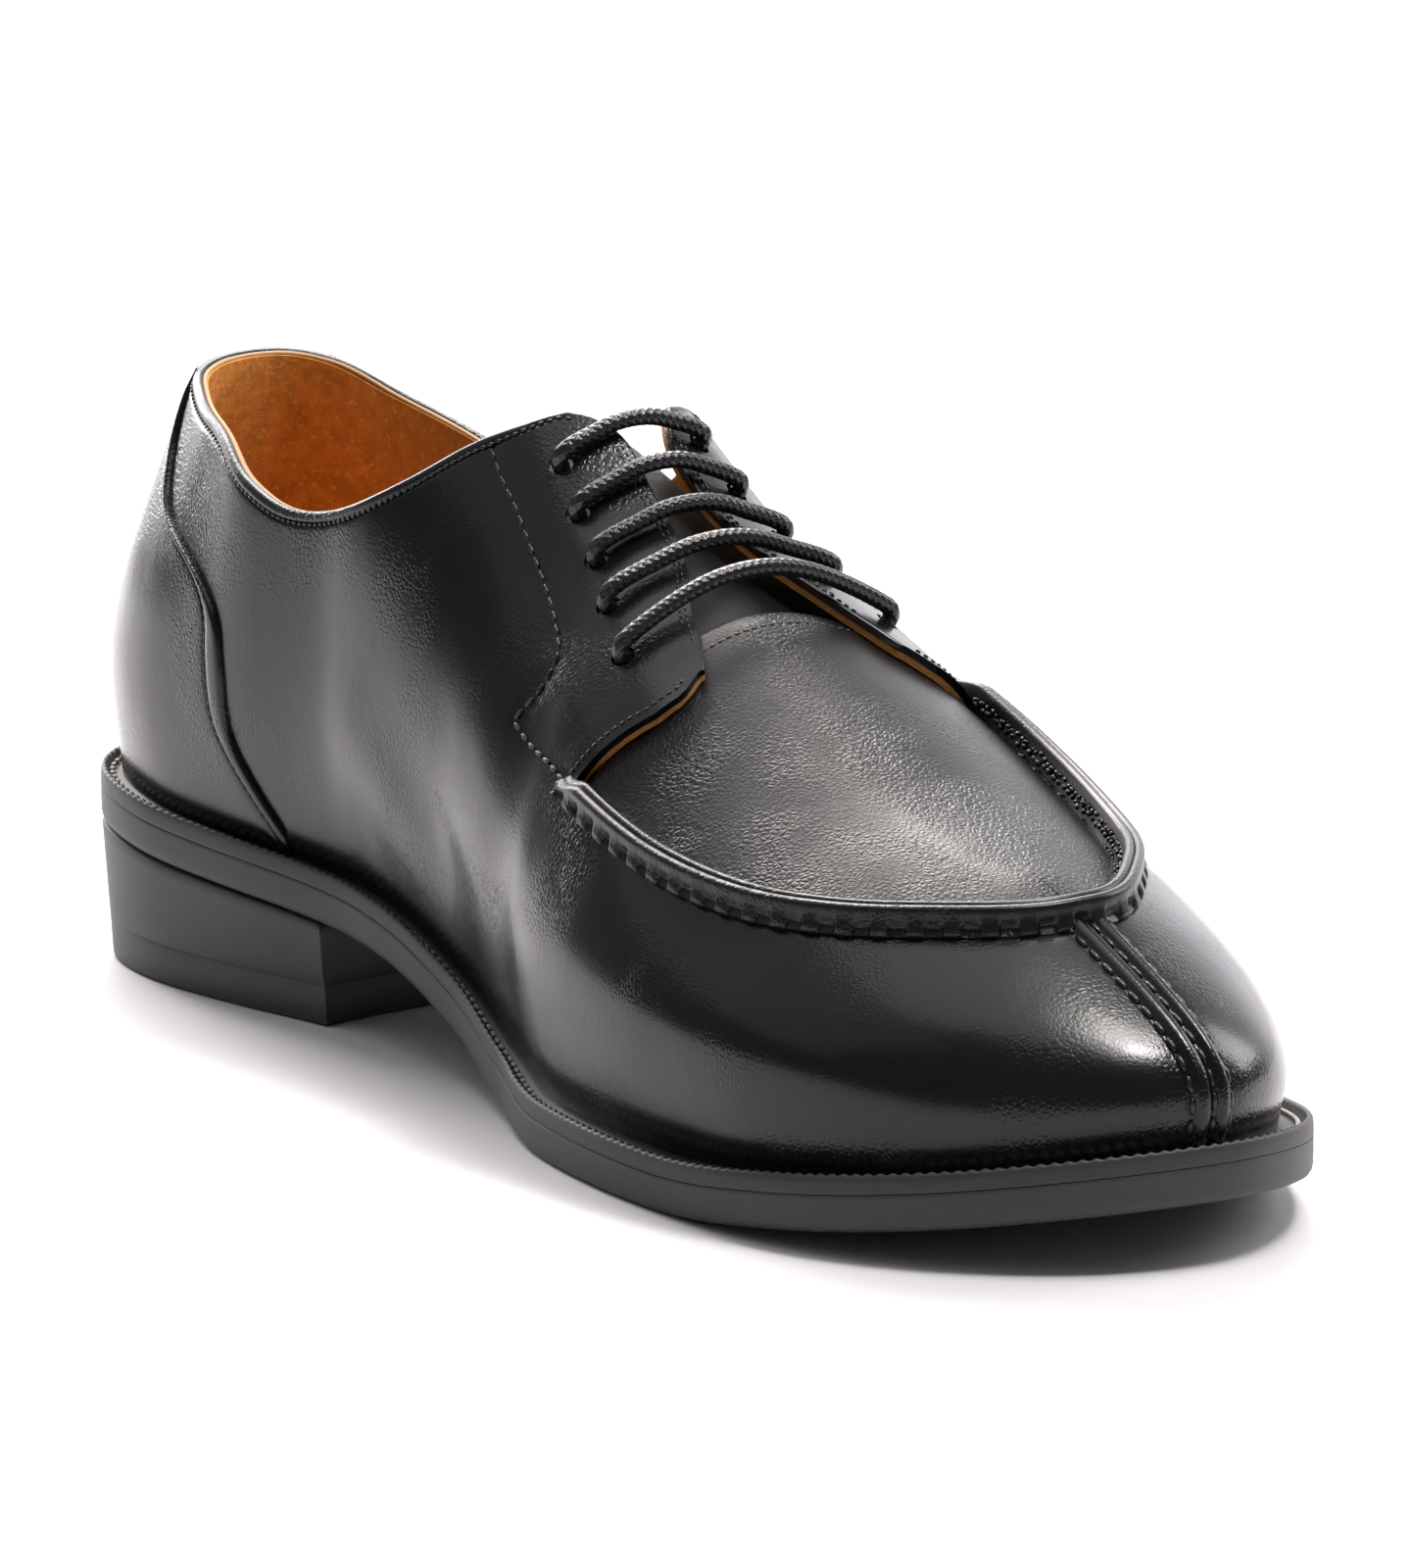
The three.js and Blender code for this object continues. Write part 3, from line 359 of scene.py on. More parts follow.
def take(samples, u):
    """Reads a closed row of samples at places u, 0 to 1 once round, with cubic pieces."""
    count = samples.shape[-1]
    place = (u % 1.0) * count
    i = np.floor(place).astype(int)
    t = place - i
    a, b, c, d = (samples[..., (i + k) % count] for k in (-1, 0, 1, 2))
    return 0.5 * (2 * b + (c - a) * t + (2 * a - 5 * b + 4 * c - d) * t**2
                  + (3 * b - a - 3 * c + d) * t**3)


def unit(vectors):
    """Vectors over their lengths."""
    return vectors / np.maximum(np.linalg.norm(vectors, axis=-1, keepdims=True), 1e-9)


def underside(x):
    """Underside of the sole above the floor: heel rise plus toe spring."""
    return HEEL_HEIGHT * HEEL_RISE(x / SOLE_LENGTH) + TOE_SPRING * SPRING_RISE(x / SOLE_LENGTH)


def sole_top(x):
    """Top of the sole at x."""
    return underside(x) + SEAT_HEIGHT


HEEL_RISE = steady(UNDERSIDE, 1)
SPRING_RISE = steady(UNDERSIDE, 2)
BALL_SHARE = steady(WIDTH, 1)
CROWN_RISE = steady(CROWN, 1)
CROWN_ACROSS = steady(CROWN, 2)
INSTEP_FLAT = steady(INSTEP, 1)
RIB_ANGLES = np.array([0.0, 10.0, 22.0, 36.0, 50.0, 64.0, 78.0, 90.0])
SAMPLES = 1536


def crown_x(x, heel_x, toe_x):
    """Where a rib's crown point lies: ribs of heel and toe fan out from a short stretch."""
    toe_from = TOE_CROWN[1] * SOLE_LENGTH
    heel_from = HEEL_CROWN[1] * SOLE_LENGTH
    toe_share = np.clip((x - toe_from) / (toe_x - toe_from), 0, 1)
    heel_share = np.clip((heel_from - x) / (heel_from - heel_x), 0, 1)
    return (x - (toe_x - TOE_CROWN[0] * SOLE_LENGTH) * toe_share**2
            + (HEEL_CROWN[0] * SOLE_LENGTH - heel_x) * heel_share**2)


def crown_z(x):
    """Height of the closed crown line at x."""
    return sole_top(x) + WELT_THICKNESS + CLEARANCE + INSTEP_HEIGHT * CROWN_RISE(x / SOLE_LENGTH)


class Last:
    """The last's ribs as closed rows of samples: edge, normal, feather, crown, bulge, seam."""

    def __init__(self):
        u = np.arange(SAMPLES) / SAMPLES
        along, across, ledge = round_curve(OUTLINE, u).T
        width = HEEL_WIDTH + (BALL_WIDTH - HEEL_WIDTH) * BALL_SHARE(along)
        self.edge_x = soften(along * SOLE_LENGTH, 5)
        self.edge_y = soften(across * width, 5)
        self.ledge = soften(ledge * WELT_LEDGE, 12)
        dx = np.roll(self.edge_x, -1) - np.roll(self.edge_x, 1)
        dy = np.roll(self.edge_y, -1) - np.roll(self.edge_y, 1)
        size = np.hypot(dx, dy)
        self.nx, self.ny = dy / size, -dx / size
        self.x = self.edge_x - self.nx * self.ledge
        self.y = self.edge_y - self.ny * self.ledge
        heel, toe = int(np.argmin(self.x)), int(np.argmax(self.x))
        self.heel_u = heel / SAMPLES - (1.0 if heel > SAMPLES // 2 else 0.0)
        self.toe_u = toe / SAMPLES
        heel_x, toe_x = self.x[heel], self.x[toe]
        top = crown_x(self.x, heel_x, toe_x)
        self.cx = soften(top, 8)
        self.cy = soften(CROWN_ACROSS(top / SOLE_LENGTH) * BALL_WIDTH, 8)
        self.cz = soften(crown_z(top), 8)
        self.base = soften(underside(self.x) + FEATHER_HEIGHT, 8)
        reach = np.hypot(self.x - self.cx, self.y - self.cy)
        inner = smooth(-0.5, 0.5, -(self.y - self.cy) / reach)
        share = self.x / SOLE_LENGTH
        rows = [np.ones(SAMPLES)]
        for column in range(1, 7):
            side = steady(INNER_SIDE, column)(share) * inner + steady(OUTER_SIDE, column)(share) * (1 - inner)
            rows.append(soften(side, 9))
        rows.append(np.zeros(SAMPLES))
        self.bulge = np.array(rows)
        self.slope = self.slopes(self.bulge)
        ridge = (crown_z(top + 1) - crown_z(top - 1)) / 2
        dip = (INSTEP_FLAT((top + 1) / SOLE_LENGTH) - INSTEP_FLAT((top - 1) / SOLE_LENGTH)) / 2
        self.grade = soften(np.where(self.x > TOE_CROWN[1] * SOLE_LENGTH, ridge, 0.0), 10)
        self.flat = soften(INSTEP_FLAT(top / SOLE_LENGTH), 8)
        self.ridge = soften(ridge - dip, 8)
        apron = steady(APRON, 1)(share) * inner + steady(APRON, 2)(share) * (1 - inner)
        self.apron = soften(apron, 10)
        self.share = share
        fine = np.linspace(self.heel_u, self.toe_u, 4000)
        self.inner_fine = (take(self.x, fine), fine)
        fine = np.linspace(self.heel_u + 1, self.toe_u, 4000)
        self.outer_fine = (take(self.x, fine), fine)

    @staticmethod
    def slopes(values):
        """Slopes at the rib angles that make the second derivative run on from piece to piece."""
        step = np.diff(RIB_ANGLES)
        count = len(RIB_ANGLES)
        matrix = np.eye(count)
        grade = np.diff(values, axis=0) / step[:, None]
        right = np.zeros_like(values)
        right[0], right[-1] = grade[0] * 1.2, grade[-1]
        for i in range(1, count - 1):
            matrix[i, i - 1] = 1 / step[i - 1]
            matrix[i, i] = 2 / step[i - 1] + 2 / step[i]
            matrix[i, i + 1] = 1 / step[i]
            right[i] = 3 * (grade[i - 1] / step[i - 1] + grade[i] / step[i])
        return np.linalg.solve(matrix, right)

    def side_u(self, x, inner):
        """Outline places whose feather point has the given x, on the inner side where inner holds."""
        return np.where(inner, np.interp(x, *self.inner_fine), np.interp(x, *self.outer_fine))

    def share_up(self, u, angle):
        """Share of the half width at an angle up the rib: one cubic piece between rib angles."""
        i = np.clip(np.searchsorted(RIB_ANGLES, angle, side="right") - 1, 0, len(RIB_ANGLES) - 2)
        step = np.diff(RIB_ANGLES)[i]
        t = (angle - RIB_ANGLES[i]) / step
        s = 1.0 - t
        place = (u % 1.0) * SAMPLES
        k = np.floor(place).astype(int)
        f = place - k
        total = 0.0
        weights = (((-f + 2 * f**2 - f**3) / 2), ((2 - 5 * f**2 + 3 * f**3) / 2),
                   ((f + 4 * f**2 - 3 * f**3) / 2), ((-f**2 + f**3) / 2))
        for offset, weight in zip((-1, 0, 1, 2), weights):
            at = (k + offset) % SAMPLES
            piece = (self.bulge[i, at] * s * s * (1 + 2 * t) + self.slope[i, at] * step * t * s * s
                     + self.bulge[i + 1, at] * t * t * (3 - 2 * t)
                     - self.slope[i + 1, at] * step * t * t * s)
            total = total + weight * piece
        return total

    def point(self, u, angle):
        """Point of the last: feather to crown by the bulge's share, height by the angle's sine,
        the toe's own fall along the crown, less the flat of the instep."""
        u, angle = np.broadcast_arrays(np.asarray(u, float), np.asarray(angle, float))
        share = self.share_up(u, angle)
        rise = np.sin(np.radians(angle))
        cx, cy, cz, base = (take(row, u) for row in (self.cx, self.cy, self.cz, self.base))
        x = cx + (take(self.x, u) - cx) * share
        y = cy + (take(self.y, u) - cy) * share
        z = base + (cz - base) * rise + take(self.grade, u) * (x - cx) * rise**2
        z = z - take(self.flat, u) * smooth(FLAT_FROM, FLAT_FULL, angle)
        return np.stack([x, y, z], -1)

    def normal(self, u, angle):
        """Outward normal, from differences round and up; at the crown, square to its line."""
        u, angle = np.broadcast_arrays(np.asarray(u, float), np.asarray(angle, float))
        low = np.clip(angle - 0.6, 0, 89.0)
        up = self.point(u, low + 1.0) - self.point(u, low)
        about = self.point(u + 1.2e-3, angle) - self.point(u - 1.2e-3, angle)
        side = unit(np.cross(about, up))
        ridge = take(self.ridge, u)
        top = unit(np.stack([-ridge, 0 * ridge, 1 + 0 * ridge], -1))
        share = smooth(82.0, 90.0, angle)[..., None]
        return unit(side * (1 - share) + top * share)

    def skin(self, u, angle, out=0.0):
        """Point that far out from the last along its normal."""
        return self.point(u, angle) + self.normal(u, angle) * np.asarray(out, float)[..., None]


LAST = Last()
FACING_EDGES = (INNER_FACING, OUTER_FACING)


def near(u):
    """Whether places u are on the inner side."""
    return ((u - LAST.heel_u) % 1.0) < (LAST.toe_u - LAST.heel_u)


def step_down(share, start, end):
    """How far the apron is let in below the sides, growing between two shares of the length."""
    return APRON_STEP * smooth(start, end, share)


def lift_up(u, angle):
    """How far the loose front corner of a facing stands up over the sides."""
    seam = take(LAST.apron, u)
    share = take(LAST.x, u) / SOLE_LENGTH
    return FACING_LIFT * smooth(0.5, 0.57, share) * smooth(seam, seam + 12.0, angle)


def angle_for_y(u, y):
    """Angle up the ribs u at which the last has that y, found by halving."""
    inner = near(u)
    low = np.full(np.shape(u), 20.0)
    high = np.full(np.shape(u), 90.0)
    for _ in range(34):
        middle = (low + high) / 2
        reach = LAST.point(u, middle)[..., 1] - y
        outside = np.where(inner, -reach, reach) > 0
        low = np.where(outside, middle, low)
        high = np.where(outside, high, middle)
    return (low + high) / 2


def place_at(x, y):
    """Outline place and angle of the last's upper half over points given in plan."""
    x, y = np.asarray(x, float), np.asarray(y, float)
    u = LAST.side_u(x, y < 0)
    return u, angle_for_y(u, y)


SHIFT = -np.array([(LAST.edge_x.min() + LAST.edge_x.max()) / 2,
                   (LAST.edge_y.min() + LAST.edge_y.max()) / 2, 0.0])


def make_piece(name, points, faces, material, slot, stands_for, sharp=None, weld=False):
    """Puts millimetre points and blocks of faces into a mesh in metres, in the shoe's frame, and
    lets it ride on the one body. sharp marks edges over that angle, weld closes poles and slits."""
    mesh = bpy.data.meshes.new(name)
    metres = (points + SHIFT) / 1000.0
    mesh.from_pydata(metres.tolist(), [], [face for block in faces for face in block.tolist()])
    if weld:
        work = bmesh.new()
        work.from_mesh(mesh)
        bmesh.ops.remove_doubles(work, verts=work.verts, dist=2e-6)
        bmesh.ops.dissolve_degenerate(work, edges=work.edges, dist=1e-7)
        work.to_mesh(mesh)
        work.free()
    mesh.polygons.foreach_set("use_smooth", np.ones(len(mesh.polygons), bool))
    if sharp:
        mesh.set_sharp_from_angle(angle=math.radians(sharp))
    mesh.materials.append(material)
    piece = bpy.data.objects.new(name, mesh)
    bpy.context.scene.collection.objects.link(piece)
    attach(piece, "root")
    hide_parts(*stands_for)
    return piece


upper_piece = partial(make_piece, slot="upper_leather", stands_for=("upper",))


def grid_quads(rows, columns, closed=False, mask=None):
    """Corner numbers of the quads of a grid, left out where the mask is false."""
    reach = columns if closed else columns - 1
    r, c = np.meshgrid(np.arange(rows - 1), np.arange(reach), indexing="ij")
    n = (c + 1) % columns
    quads = np.stack([r * columns + c, r * columns + n, (r + 1) * columns + n, (r + 1) * columns + c], -1)
    quads = quads.reshape(-1, 4)
    return quads if mask is None else quads[mask.ravel()]


def shell(outer, inner, closed=False, mask=None):
    """A closed sheet: the outer grid, the inner grid turned over, and a rim wherever an outer
    quad has no neighbour."""
    rows, columns = outer.shape[:2]
    quads = grid_quads(rows, columns, closed, mask)
    count = rows * columns
    edges = np.concatenate([quads[:, [k, (k + 1) % 4]] for k in range(4)])
    key = edges[:, 0] * count + edges[:, 1]
    back = edges[:, 1] * count + edges[:, 0]
    rim = edges[~np.isin(key, back)]
    rim_quads = np.stack([rim[:, 1], rim[:, 0], rim[:, 0] + count, rim[:, 1] + count], -1)
    faces = np.concatenate([quads, quads[:, ::-1] + count, rim_quads])
    points = np.concatenate([outer.reshape(-1, 3), inner.reshape(-1, 3)])
    used = np.zeros(2 * count, bool)
    used[faces.ravel()] = True
    number = np.cumsum(used) - 1
    return points[used], [number[faces]]


def swept(path, side, up, profile):
    """A closed outline carried along an open path: path + side * a + up * b at every outline
    point, with a fan over each end. The outline may change along the path."""
    grid = path[:, None] + side[:, None] * profile[..., :1] + up[:, None] * profile[..., 1:]
    count, size = grid.shape[:2]
    points = np.concatenate([grid.reshape(-1, 3), grid[:1].mean(1), grid[-1:].mean(1)])
    here = np.arange(size)
    after = (here + 1) % size
    last = (count - 1) * size
    start = np.stack([after, here, np.full(size, count * size)], -1)
    end = np.stack([here + last, after + last, np.full(size, count * size + 1)], -1)
    return points, [grid_quads(count, size, True), start, end]


def ring_solid(rings):
    """A solid from closed rings of points, lowest first, each from the heel tip round the inner
    side: bands between the rings, and straight strips across the first and the last."""
    levels, count = rings.shape[:2]
    half = count // 2
    i = np.arange(1, half - 1)
    strips = np.stack([i, i + 1, count - i - 1, count - i], -1)
    tips = np.array([(0, 1, count - 1), (half - 1, half, half + 1)])
    top = (levels - 1) * count
    bands = grid_quads(levels, count, True)
    return rings.reshape(-1, 3), [bands, strips[:, ::-1], tips[:, ::-1], strips + top, tips + top]


def bead_mesh(centres, along, up, size):
    """Small egg shapes: centre + along, across and up times the unit ball times size."""
    rings, segments = 4, 7
    polar = np.linspace(0, np.pi, rings + 2)[1:-1, None]
    turn = np.linspace(0, 2 * np.pi, segments, endpoint=False)
    bands = np.stack([np.cos(polar) + 0 * turn, np.sin(polar) * np.cos(turn),
                      np.sin(polar) * np.sin(turn)], -1)
    ball = np.concatenate([[(1, 0, 0)], bands.reshape(-1, 3), [(-1, 0, 0)]]) * size
    here = np.arange(segments)
    after = (here + 1) % segments
    last = len(ball) - 1
    caps = np.concatenate([np.stack([0 * here, 1 + here, 1 + after], -1),
                           np.stack([0 * here + last, last - segments + after, last - segments + here], -1)])
    quads = grid_quads(rings, segments, True)[:, ::-1] + 1
    across = unit(np.cross(up, along))
    points = (centres[:, None] + along[:, None] * ball[:, :1] + across[:, None] * ball[:, 1:2]
              + up[:, None] * ball[:, 2:])
    base = (np.arange(len(centres)) * len(ball))[:, None, None]
    return points.reshape(-1, 3), [(caps + base).reshape(-1, 3), (quads + base).reshape(-1, 4)]


def join(parts):
    """Several meshes' points and faces as one."""
    starts = np.cumsum([0] + [len(points) for points, _ in parts])
    faces = [block + start for (_, blocks), start in zip(parts, starts) for block in blocks]
    return np.concatenate([points for points, _ in parts]), faces


def lengths(path):
    """Length run along a row of points, from 0 at the first."""
    return np.concatenate([[0.0], np.cumsum(np.linalg.norm(np.diff(path, axis=0), axis=1))])


def spaced(path, pitch):
    """Fractional places along a row of points, one pitch apart by length."""
    run = lengths(path)
    count = max(int(run[-1] / pitch), 2)
    marks = (np.arange(count) + 0.5) * run[-1] / count
    return np.interp(marks, run, np.arange(len(path)))


def along_row(values, places):
    """Values read between the entries of a row at fractional places."""
    i = np.clip(np.floor(places).astype(int), 0, len(values) - 2)
    t = places - i
    t = t.reshape(t.shape + (1,) * (np.ndim(values) - 1))
    return values[i] * (1 - t) + values[i + 1] * t


def beads_along(path, tangent, up, pitch, size):
    """Beads in a row on a path, one pitch apart."""
    places = spaced(path, pitch)
    return bead_mesh(along_row(path, places), unit(along_row(tangent, places)),
                     unit(along_row(up, places)), size)


def stitches(u, angle, out, pitch, size):
    """Beads in a row on the last, along the line of places u and angles, that far out."""
    path = LAST.skin(u, angle, out)
    return beads_along(path, unit(np.gradient(path, axis=0)), LAST.normal(u, angle), pitch, size)


def per_degree(u, angle):
    """Millimetres up the last for one degree."""
    high = np.minimum(angle + 0.5, 90.0)
    return np.linalg.norm(LAST.point(u, high) - LAST.point(u, high - 1.0), axis=-1)


def per_turn(u, angle):
    """Millimetres round the last for one turn of the outline place."""
    return np.linalg.norm(LAST.point(u + 1e-3, angle) - LAST.point(u - 1e-3, angle), axis=-1) / 2e-3


def rounded(distance, radius):
    """How far a surface falls that far from its edge, for an edge of that radius."""
    d = np.clip(distance, 0.0, radius)
    return radius - np.sqrt(np.maximum(radius**2 - (radius - d)**2, 0.0))


def smooth_line(points, count):
    """A smooth open curve through a few points: cubic pieces over the root of their spacing,
    with the weighted mean of their neighbours' slopes, read at even steps of length."""
    run = lengths(points)
    t = np.concatenate([[0.0], np.cumsum(np.sqrt(np.diff(run)))])
    step = np.diff(t)[:, None]
    grade = np.diff(points, axis=0) / step
    inner = (step[1:] * grade[:-1] + step[:-1] * grade[1:]) / (step[:-1] + step[1:])
    slope = np.concatenate([grade[:1], inner, grade[-1:]])
    place = np.interp(np.linspace(0, run[-1], count), run, t)
    i = np.clip(np.searchsorted(t, place, side="right") - 1, 0, len(points) - 2)
    f = ((place - t[i]) / step[i, 0])[:, None]
    g = 1.0 - f
    return (points[i] * g * g * (1 + 2 * f) + slope[i] * step[i] * f * g * g
            + points[i + 1] * f * f * (3 - 2 * f) - slope[i + 1] * step[i] * f * f * g)


# The grid of the sides: columns round the last, rows below the seam, and the x at which the
# facing meets the apron's seam and from which its front corner is drawn forward.
COLUMNS = 560
LOW_ROWS = 30
HIGH_ROWS = 14
JOINT_X = 181.0
LIP_FROM = 158.0
# How far below the top edge the last rows lie.
EDGE_STEPS = np.array([6.0, 4.4, 3.2, 2.7, 2.3, 2.0, 1.7, 1.35, 0.95, 0.6, 0.35, 0.12, 0.0])


def lip_reach(edge):
    """How far a facing's front corner reaches ahead of the seam's start, against the angle."""
    rows = edge[np.argmax(edge[:, 0]) - 1:]
    rows = rows[np.abs(rows[:, 1]) < 0.365]
    x, y = rows[:, 0] * SOLE_LENGTH, rows[:, 1] * BALL_WIDTH
    angle = place_at(x, y)[1]
    order = np.argsort(angle)
    return angle[order], np.maximum(x[order] - JOINT_X, 0.0)


class Sides:
    """Places u and angles of the grid of the sides, and which of its quads are leather."""

    def __init__(self):
        self.base = LAST.heel_u + np.arange(COLUMNS) / COLUMNS
        self.inner = near(self.base)
        self.lips = [lip_reach(edge) for edge in FACING_EDGES]
        x = take(LAST.x, self.base)
        self.front = x > JOINT_X + 0.7
        self.pull = np.clip((x - LIP_FROM) / (JOINT_X - LIP_FROM), 0, 1) ** 1.6 * ~self.front
        self.top = self.find_top()
        seam = take(LAST.apron, self.base)
        blend = smooth(110.0, 150.0, x)
        mild = np.minimum(seam, 0.62 * self.top) * (1 - blend) + seam * blend
        self.seam = np.where(self.front, seam, np.minimum(mild, self.top - 4))

    def find_top(self):
        """Angle of the top edge in each column: the first half degree outside, then halving."""
        angles = np.arange(0.0, 90.01, 0.5)
        stop = self.outside(angles[:, None])
        first = np.where(stop.any(axis=0), np.argmax(stop, axis=0), len(angles) - 1)
        low, high = angles[np.maximum(first - 1, 0)], angles[first]
        for _ in range(12):
            middle = (low + high) / 2
            out = self.outside(middle)
            low, high = np.where(out, low, middle), np.where(out, middle, high)
        return (low + high) / 2

    def lead(self, angle):
        """Places u at the angles, drawn forward where the facing's corner reaches ahead."""
        reach = np.where(self.inner, np.interp(angle, *self.lips[0]), np.interp(angle, *self.lips[1]))
        moved = LAST.side_u(take(LAST.x, self.base) + reach * self.pull, self.inner)
        return np.where(self.pull > 0, moved, self.base)

    def outside(self, angle):
        """Whether the columns' points at the angles are past the topline or the facing's edge."""
        x, y, z = np.moveaxis(LAST.point(self.lead(angle), angle), -1, 0)
        share = x / SOLE_LENGTH
        inner_cut, outer_cut = (steady(TOPLINE, column)(share) for column in (1, 2))
        tilt = (outer_cut - inner_cut) / 2 * y / (HEEL_WIDTH * 0.42)
        cut = sole_top(0.0) + WELT_THICKNESS + COLLAR_HEIGHT * ((inner_cut + outer_cut) / 2 + tilt)
        past = []
        for edge in FACING_EDGES:
            at = steady(edge[:np.argmax(edge[:, 0]) + 1], 1)(share) * BALL_WIDTH
            past.append((np.abs(y) < np.abs(at)) | (np.sign(y) != np.sign(at)))
        above = (z > cut) & (share < TOPLINE[-1, 0]) & (angle > 20)
        return above | (np.where(self.inner, *past) & (share > 0.40) & (angle > 45))

    def top_points(self):
        """Points of the last along the top edge."""
        return LAST.point(self.lead(self.top), self.top)

    def grid(self, inset=0.0, coarse=1):
        """Places u, angles and distance from the top edge of every grid point, rows upward."""
        steps = EDGE_STEPS[::coarse]
        scale = np.maximum(per_degree(self.base, self.top), 0.2)
        end = self.top - inset / scale
        low_rows = LOW_ROWS // coarse
        low = np.linspace(0, 1, low_rows + 1)[:, None] * self.seam
        far = np.maximum(end - 7.5 / scale, self.seam + 0.5)
        middle = self.seam + (far - self.seam) * np.linspace(0, 1, HIGH_ROWS // coarse + 1)[1:, None]
        angle = np.concatenate([low, middle, np.maximum(end - steps[:, None] / scale, far)])
        rows = np.arange(len(angle))[:, None] > low_rows
        mask = np.ones((len(angle) - 1, COLUMNS), bool)
        mask[low_rows:, self.front | np.roll(self.front, -1)] = False
        return np.where(rows, self.lead(angle), self.base), angle, (end - angle) * scale, mask


SIDES = Sides()


# Creases of the leather: x and angle at both ends, half width, height (below 0 is a trough).
# The angle runs from 0 at the inner foot over 90 at the crown to 180 at the outer foot.
CREASES = (
    (92.0, 17.0, 130.0, 5.0, 8.0, 0.3),
    (104.0, 20.0, 148.0, 9.0, 8.5, -0.6),
    (124.0, 26.0, 156.0, 14.0, 8.5, 0.2),
    (146.0, 31.0, 164.0, 15.0, 9.0, -0.2),
    (108.0, 158.0, 146.0, 171.0, 7.0, -0.6),
    (128.0, 152.0, 158.0, 168.0, 6.5, 0.35),
    (150.0, 146.0, 170.0, 166.0, 6.0, -0.5),
    (196.0, 60.0, 194.0, 122.0, 5.0, -0.3),
    (208.0, 58.0, 207.0, 124.0, 6.0, 0.25),
)


def crease_line(x0, angle0, x1, angle1):
    """Points of the last along a crease: both its x and its angle change evenly."""
    x = np.linspace(x0, x1, 40)
    angle = np.linspace(angle0, angle1, 40)
    return LAST.point(LAST.side_u(x, angle < 90.0), 90.0 - np.abs(angle - 90.0))


CREASE_LINES = [(crease_line(*row[:4]), *row[4:]) for row in CREASES]


def line_gaps(point, line, margin):
    """Which points lie within the margin of a line's box, and how far they are from its points."""
    close = np.all((point > line.min(0) - margin) & (point < line.max(0) + margin), axis=-1)
    return close, np.linalg.norm(point[close][:, None] - line, axis=-1)


def relief(u, angle):
    """Soft troughs and ridges of the leather, in millimetres out: for each crease a bell curve of
    the distance from its line, fading to nothing at both ends."""
    point = LAST.point(u, angle)
    total = np.zeros(point.shape[:-1])
    for line, wide, tall in CREASE_LINES:
        close, gaps = line_gaps(point, line, 2.4 * wide)
        fade = np.sin(np.pi * (gaps.argmin(1) + 0.5) / len(line))
        total[close] += tall * fade * np.exp(-((gaps.min(1) / wide) ** 2))
    return total


def seat_on_welt(outer, inner):
    """Sets the lowest row of both grids level, a little below the top of the welt."""
    outer[0, :, 2] = inner[0, :, 2] = sole_top(outer[0, :, 0]) + FOOT_HEIGHT


def make_sides(material, lining):
    """Outer leather of the sides and facings in one, and the lining inside it."""
    u, angle, gap, mask = SIDES.grid()
    lift = lift_up(u, angle)
    edge = rounded(np.where(SIDES.front, 9.0, gap), LEATHER_EDGE)
    behind = 1 - smooth(132.0, 138.0, LAST.point(u, angle)[..., 0])
    groove = 0.32 * np.exp(-(((gap - TOPLINE_STITCH_DROP) / 0.42) ** 2)) * behind
    outer = LAST.skin(u, angle, lift + relief(u, angle) - edge - stitch_dent(u, angle) - groove)
    inner = LAST.skin(u, angle, lift - LEATHER_THICKNESS)
    seat_on_welt(outer, inner)
    sides = upper_piece("sides", *shell(outer, inner, True, mask), material, sharp=50)
    u, angle, gap, mask = SIDES.grid(inset=0.25, coarse=2)
    lift = lift_up(u, angle)
    outer = LAST.skin(u, angle, lift - LINING_DEPTH)
    inner = LAST.skin(u, angle, lift - UPPER_WALL)
    seat_on_welt(outer, inner)
    mesh = shell(outer, inner, True, mask)
    return sides, make_piece("side_lining", *mesh, lining, "lining_tan", ("upper",), sharp=50)


# Stitched line round the facing: x, y in plan on the inner side.
FACING_SEAM = np.array([
    (128.2, -19.9), (132.6, -20.9), (138.3, -21.7), (143.4, -22.7), (150.7, -24.3), (156.5, -26.2),
    (161.5, -29.0), (160.8, -31.4), (156.3, -34.2),
])
FACING_HEM = np.array([
    (156.3, -34.2), (163.4, -35.6), (174.4, -37.9), (180.3, -39.2),
])


def on_side(points, outer_side):
    """Places and angles of plan points on the inner side, or the same places on the outer one."""
    line = smooth_line(points, 80)
    u, angle = place_at(line[:, 0], line[:, 1])
    if outer_side:
        u = LAST.side_u(line[:, 0], False)
    return u, angle


SEAM_LINES = [on_side(line, side) for line in (FACING_SEAM, FACING_HEM) for side in (False, True)]


def stitch_dent(u, angle):
    """Depth of the fine trough that the facing's stitches draw into the leather: a bell curve
    of the distance from the stitched line."""
    point = LAST.point(u, angle)
    dent = np.zeros(point.shape[:-1])
    for line_u, line_angle in SEAM_LINES:
        close, gaps = line_gaps(point, LAST.point(line_u, line_angle), 4.0)
        dent[close] = np.maximum(dent[close], 0.4 * np.exp(-((gaps.min(1) / 0.85) ** 2)))
    return dent


def smoothed(grid, rounds, hold, both_ways):
    """A grid drawn towards its neighbours' mean again and again, as far as hold says: the mean
    of the points above and below, and of those on both sides too where both_ways is true."""
    for _ in range(rounds):
        mean = grid.copy()
        if both_ways:
            mean[1:-1, 1:-1] = (grid[:-2, 1:-1] + grid[2:, 1:-1] + grid[1:-1, :-2] + grid[1:-1, 2:]) / 4
        else:
            mean[1:-1] = (grid[:-2] + grid[2:]) / 2
        grid = grid + (mean - grid) * hold[..., None] * 0.8
    return grid


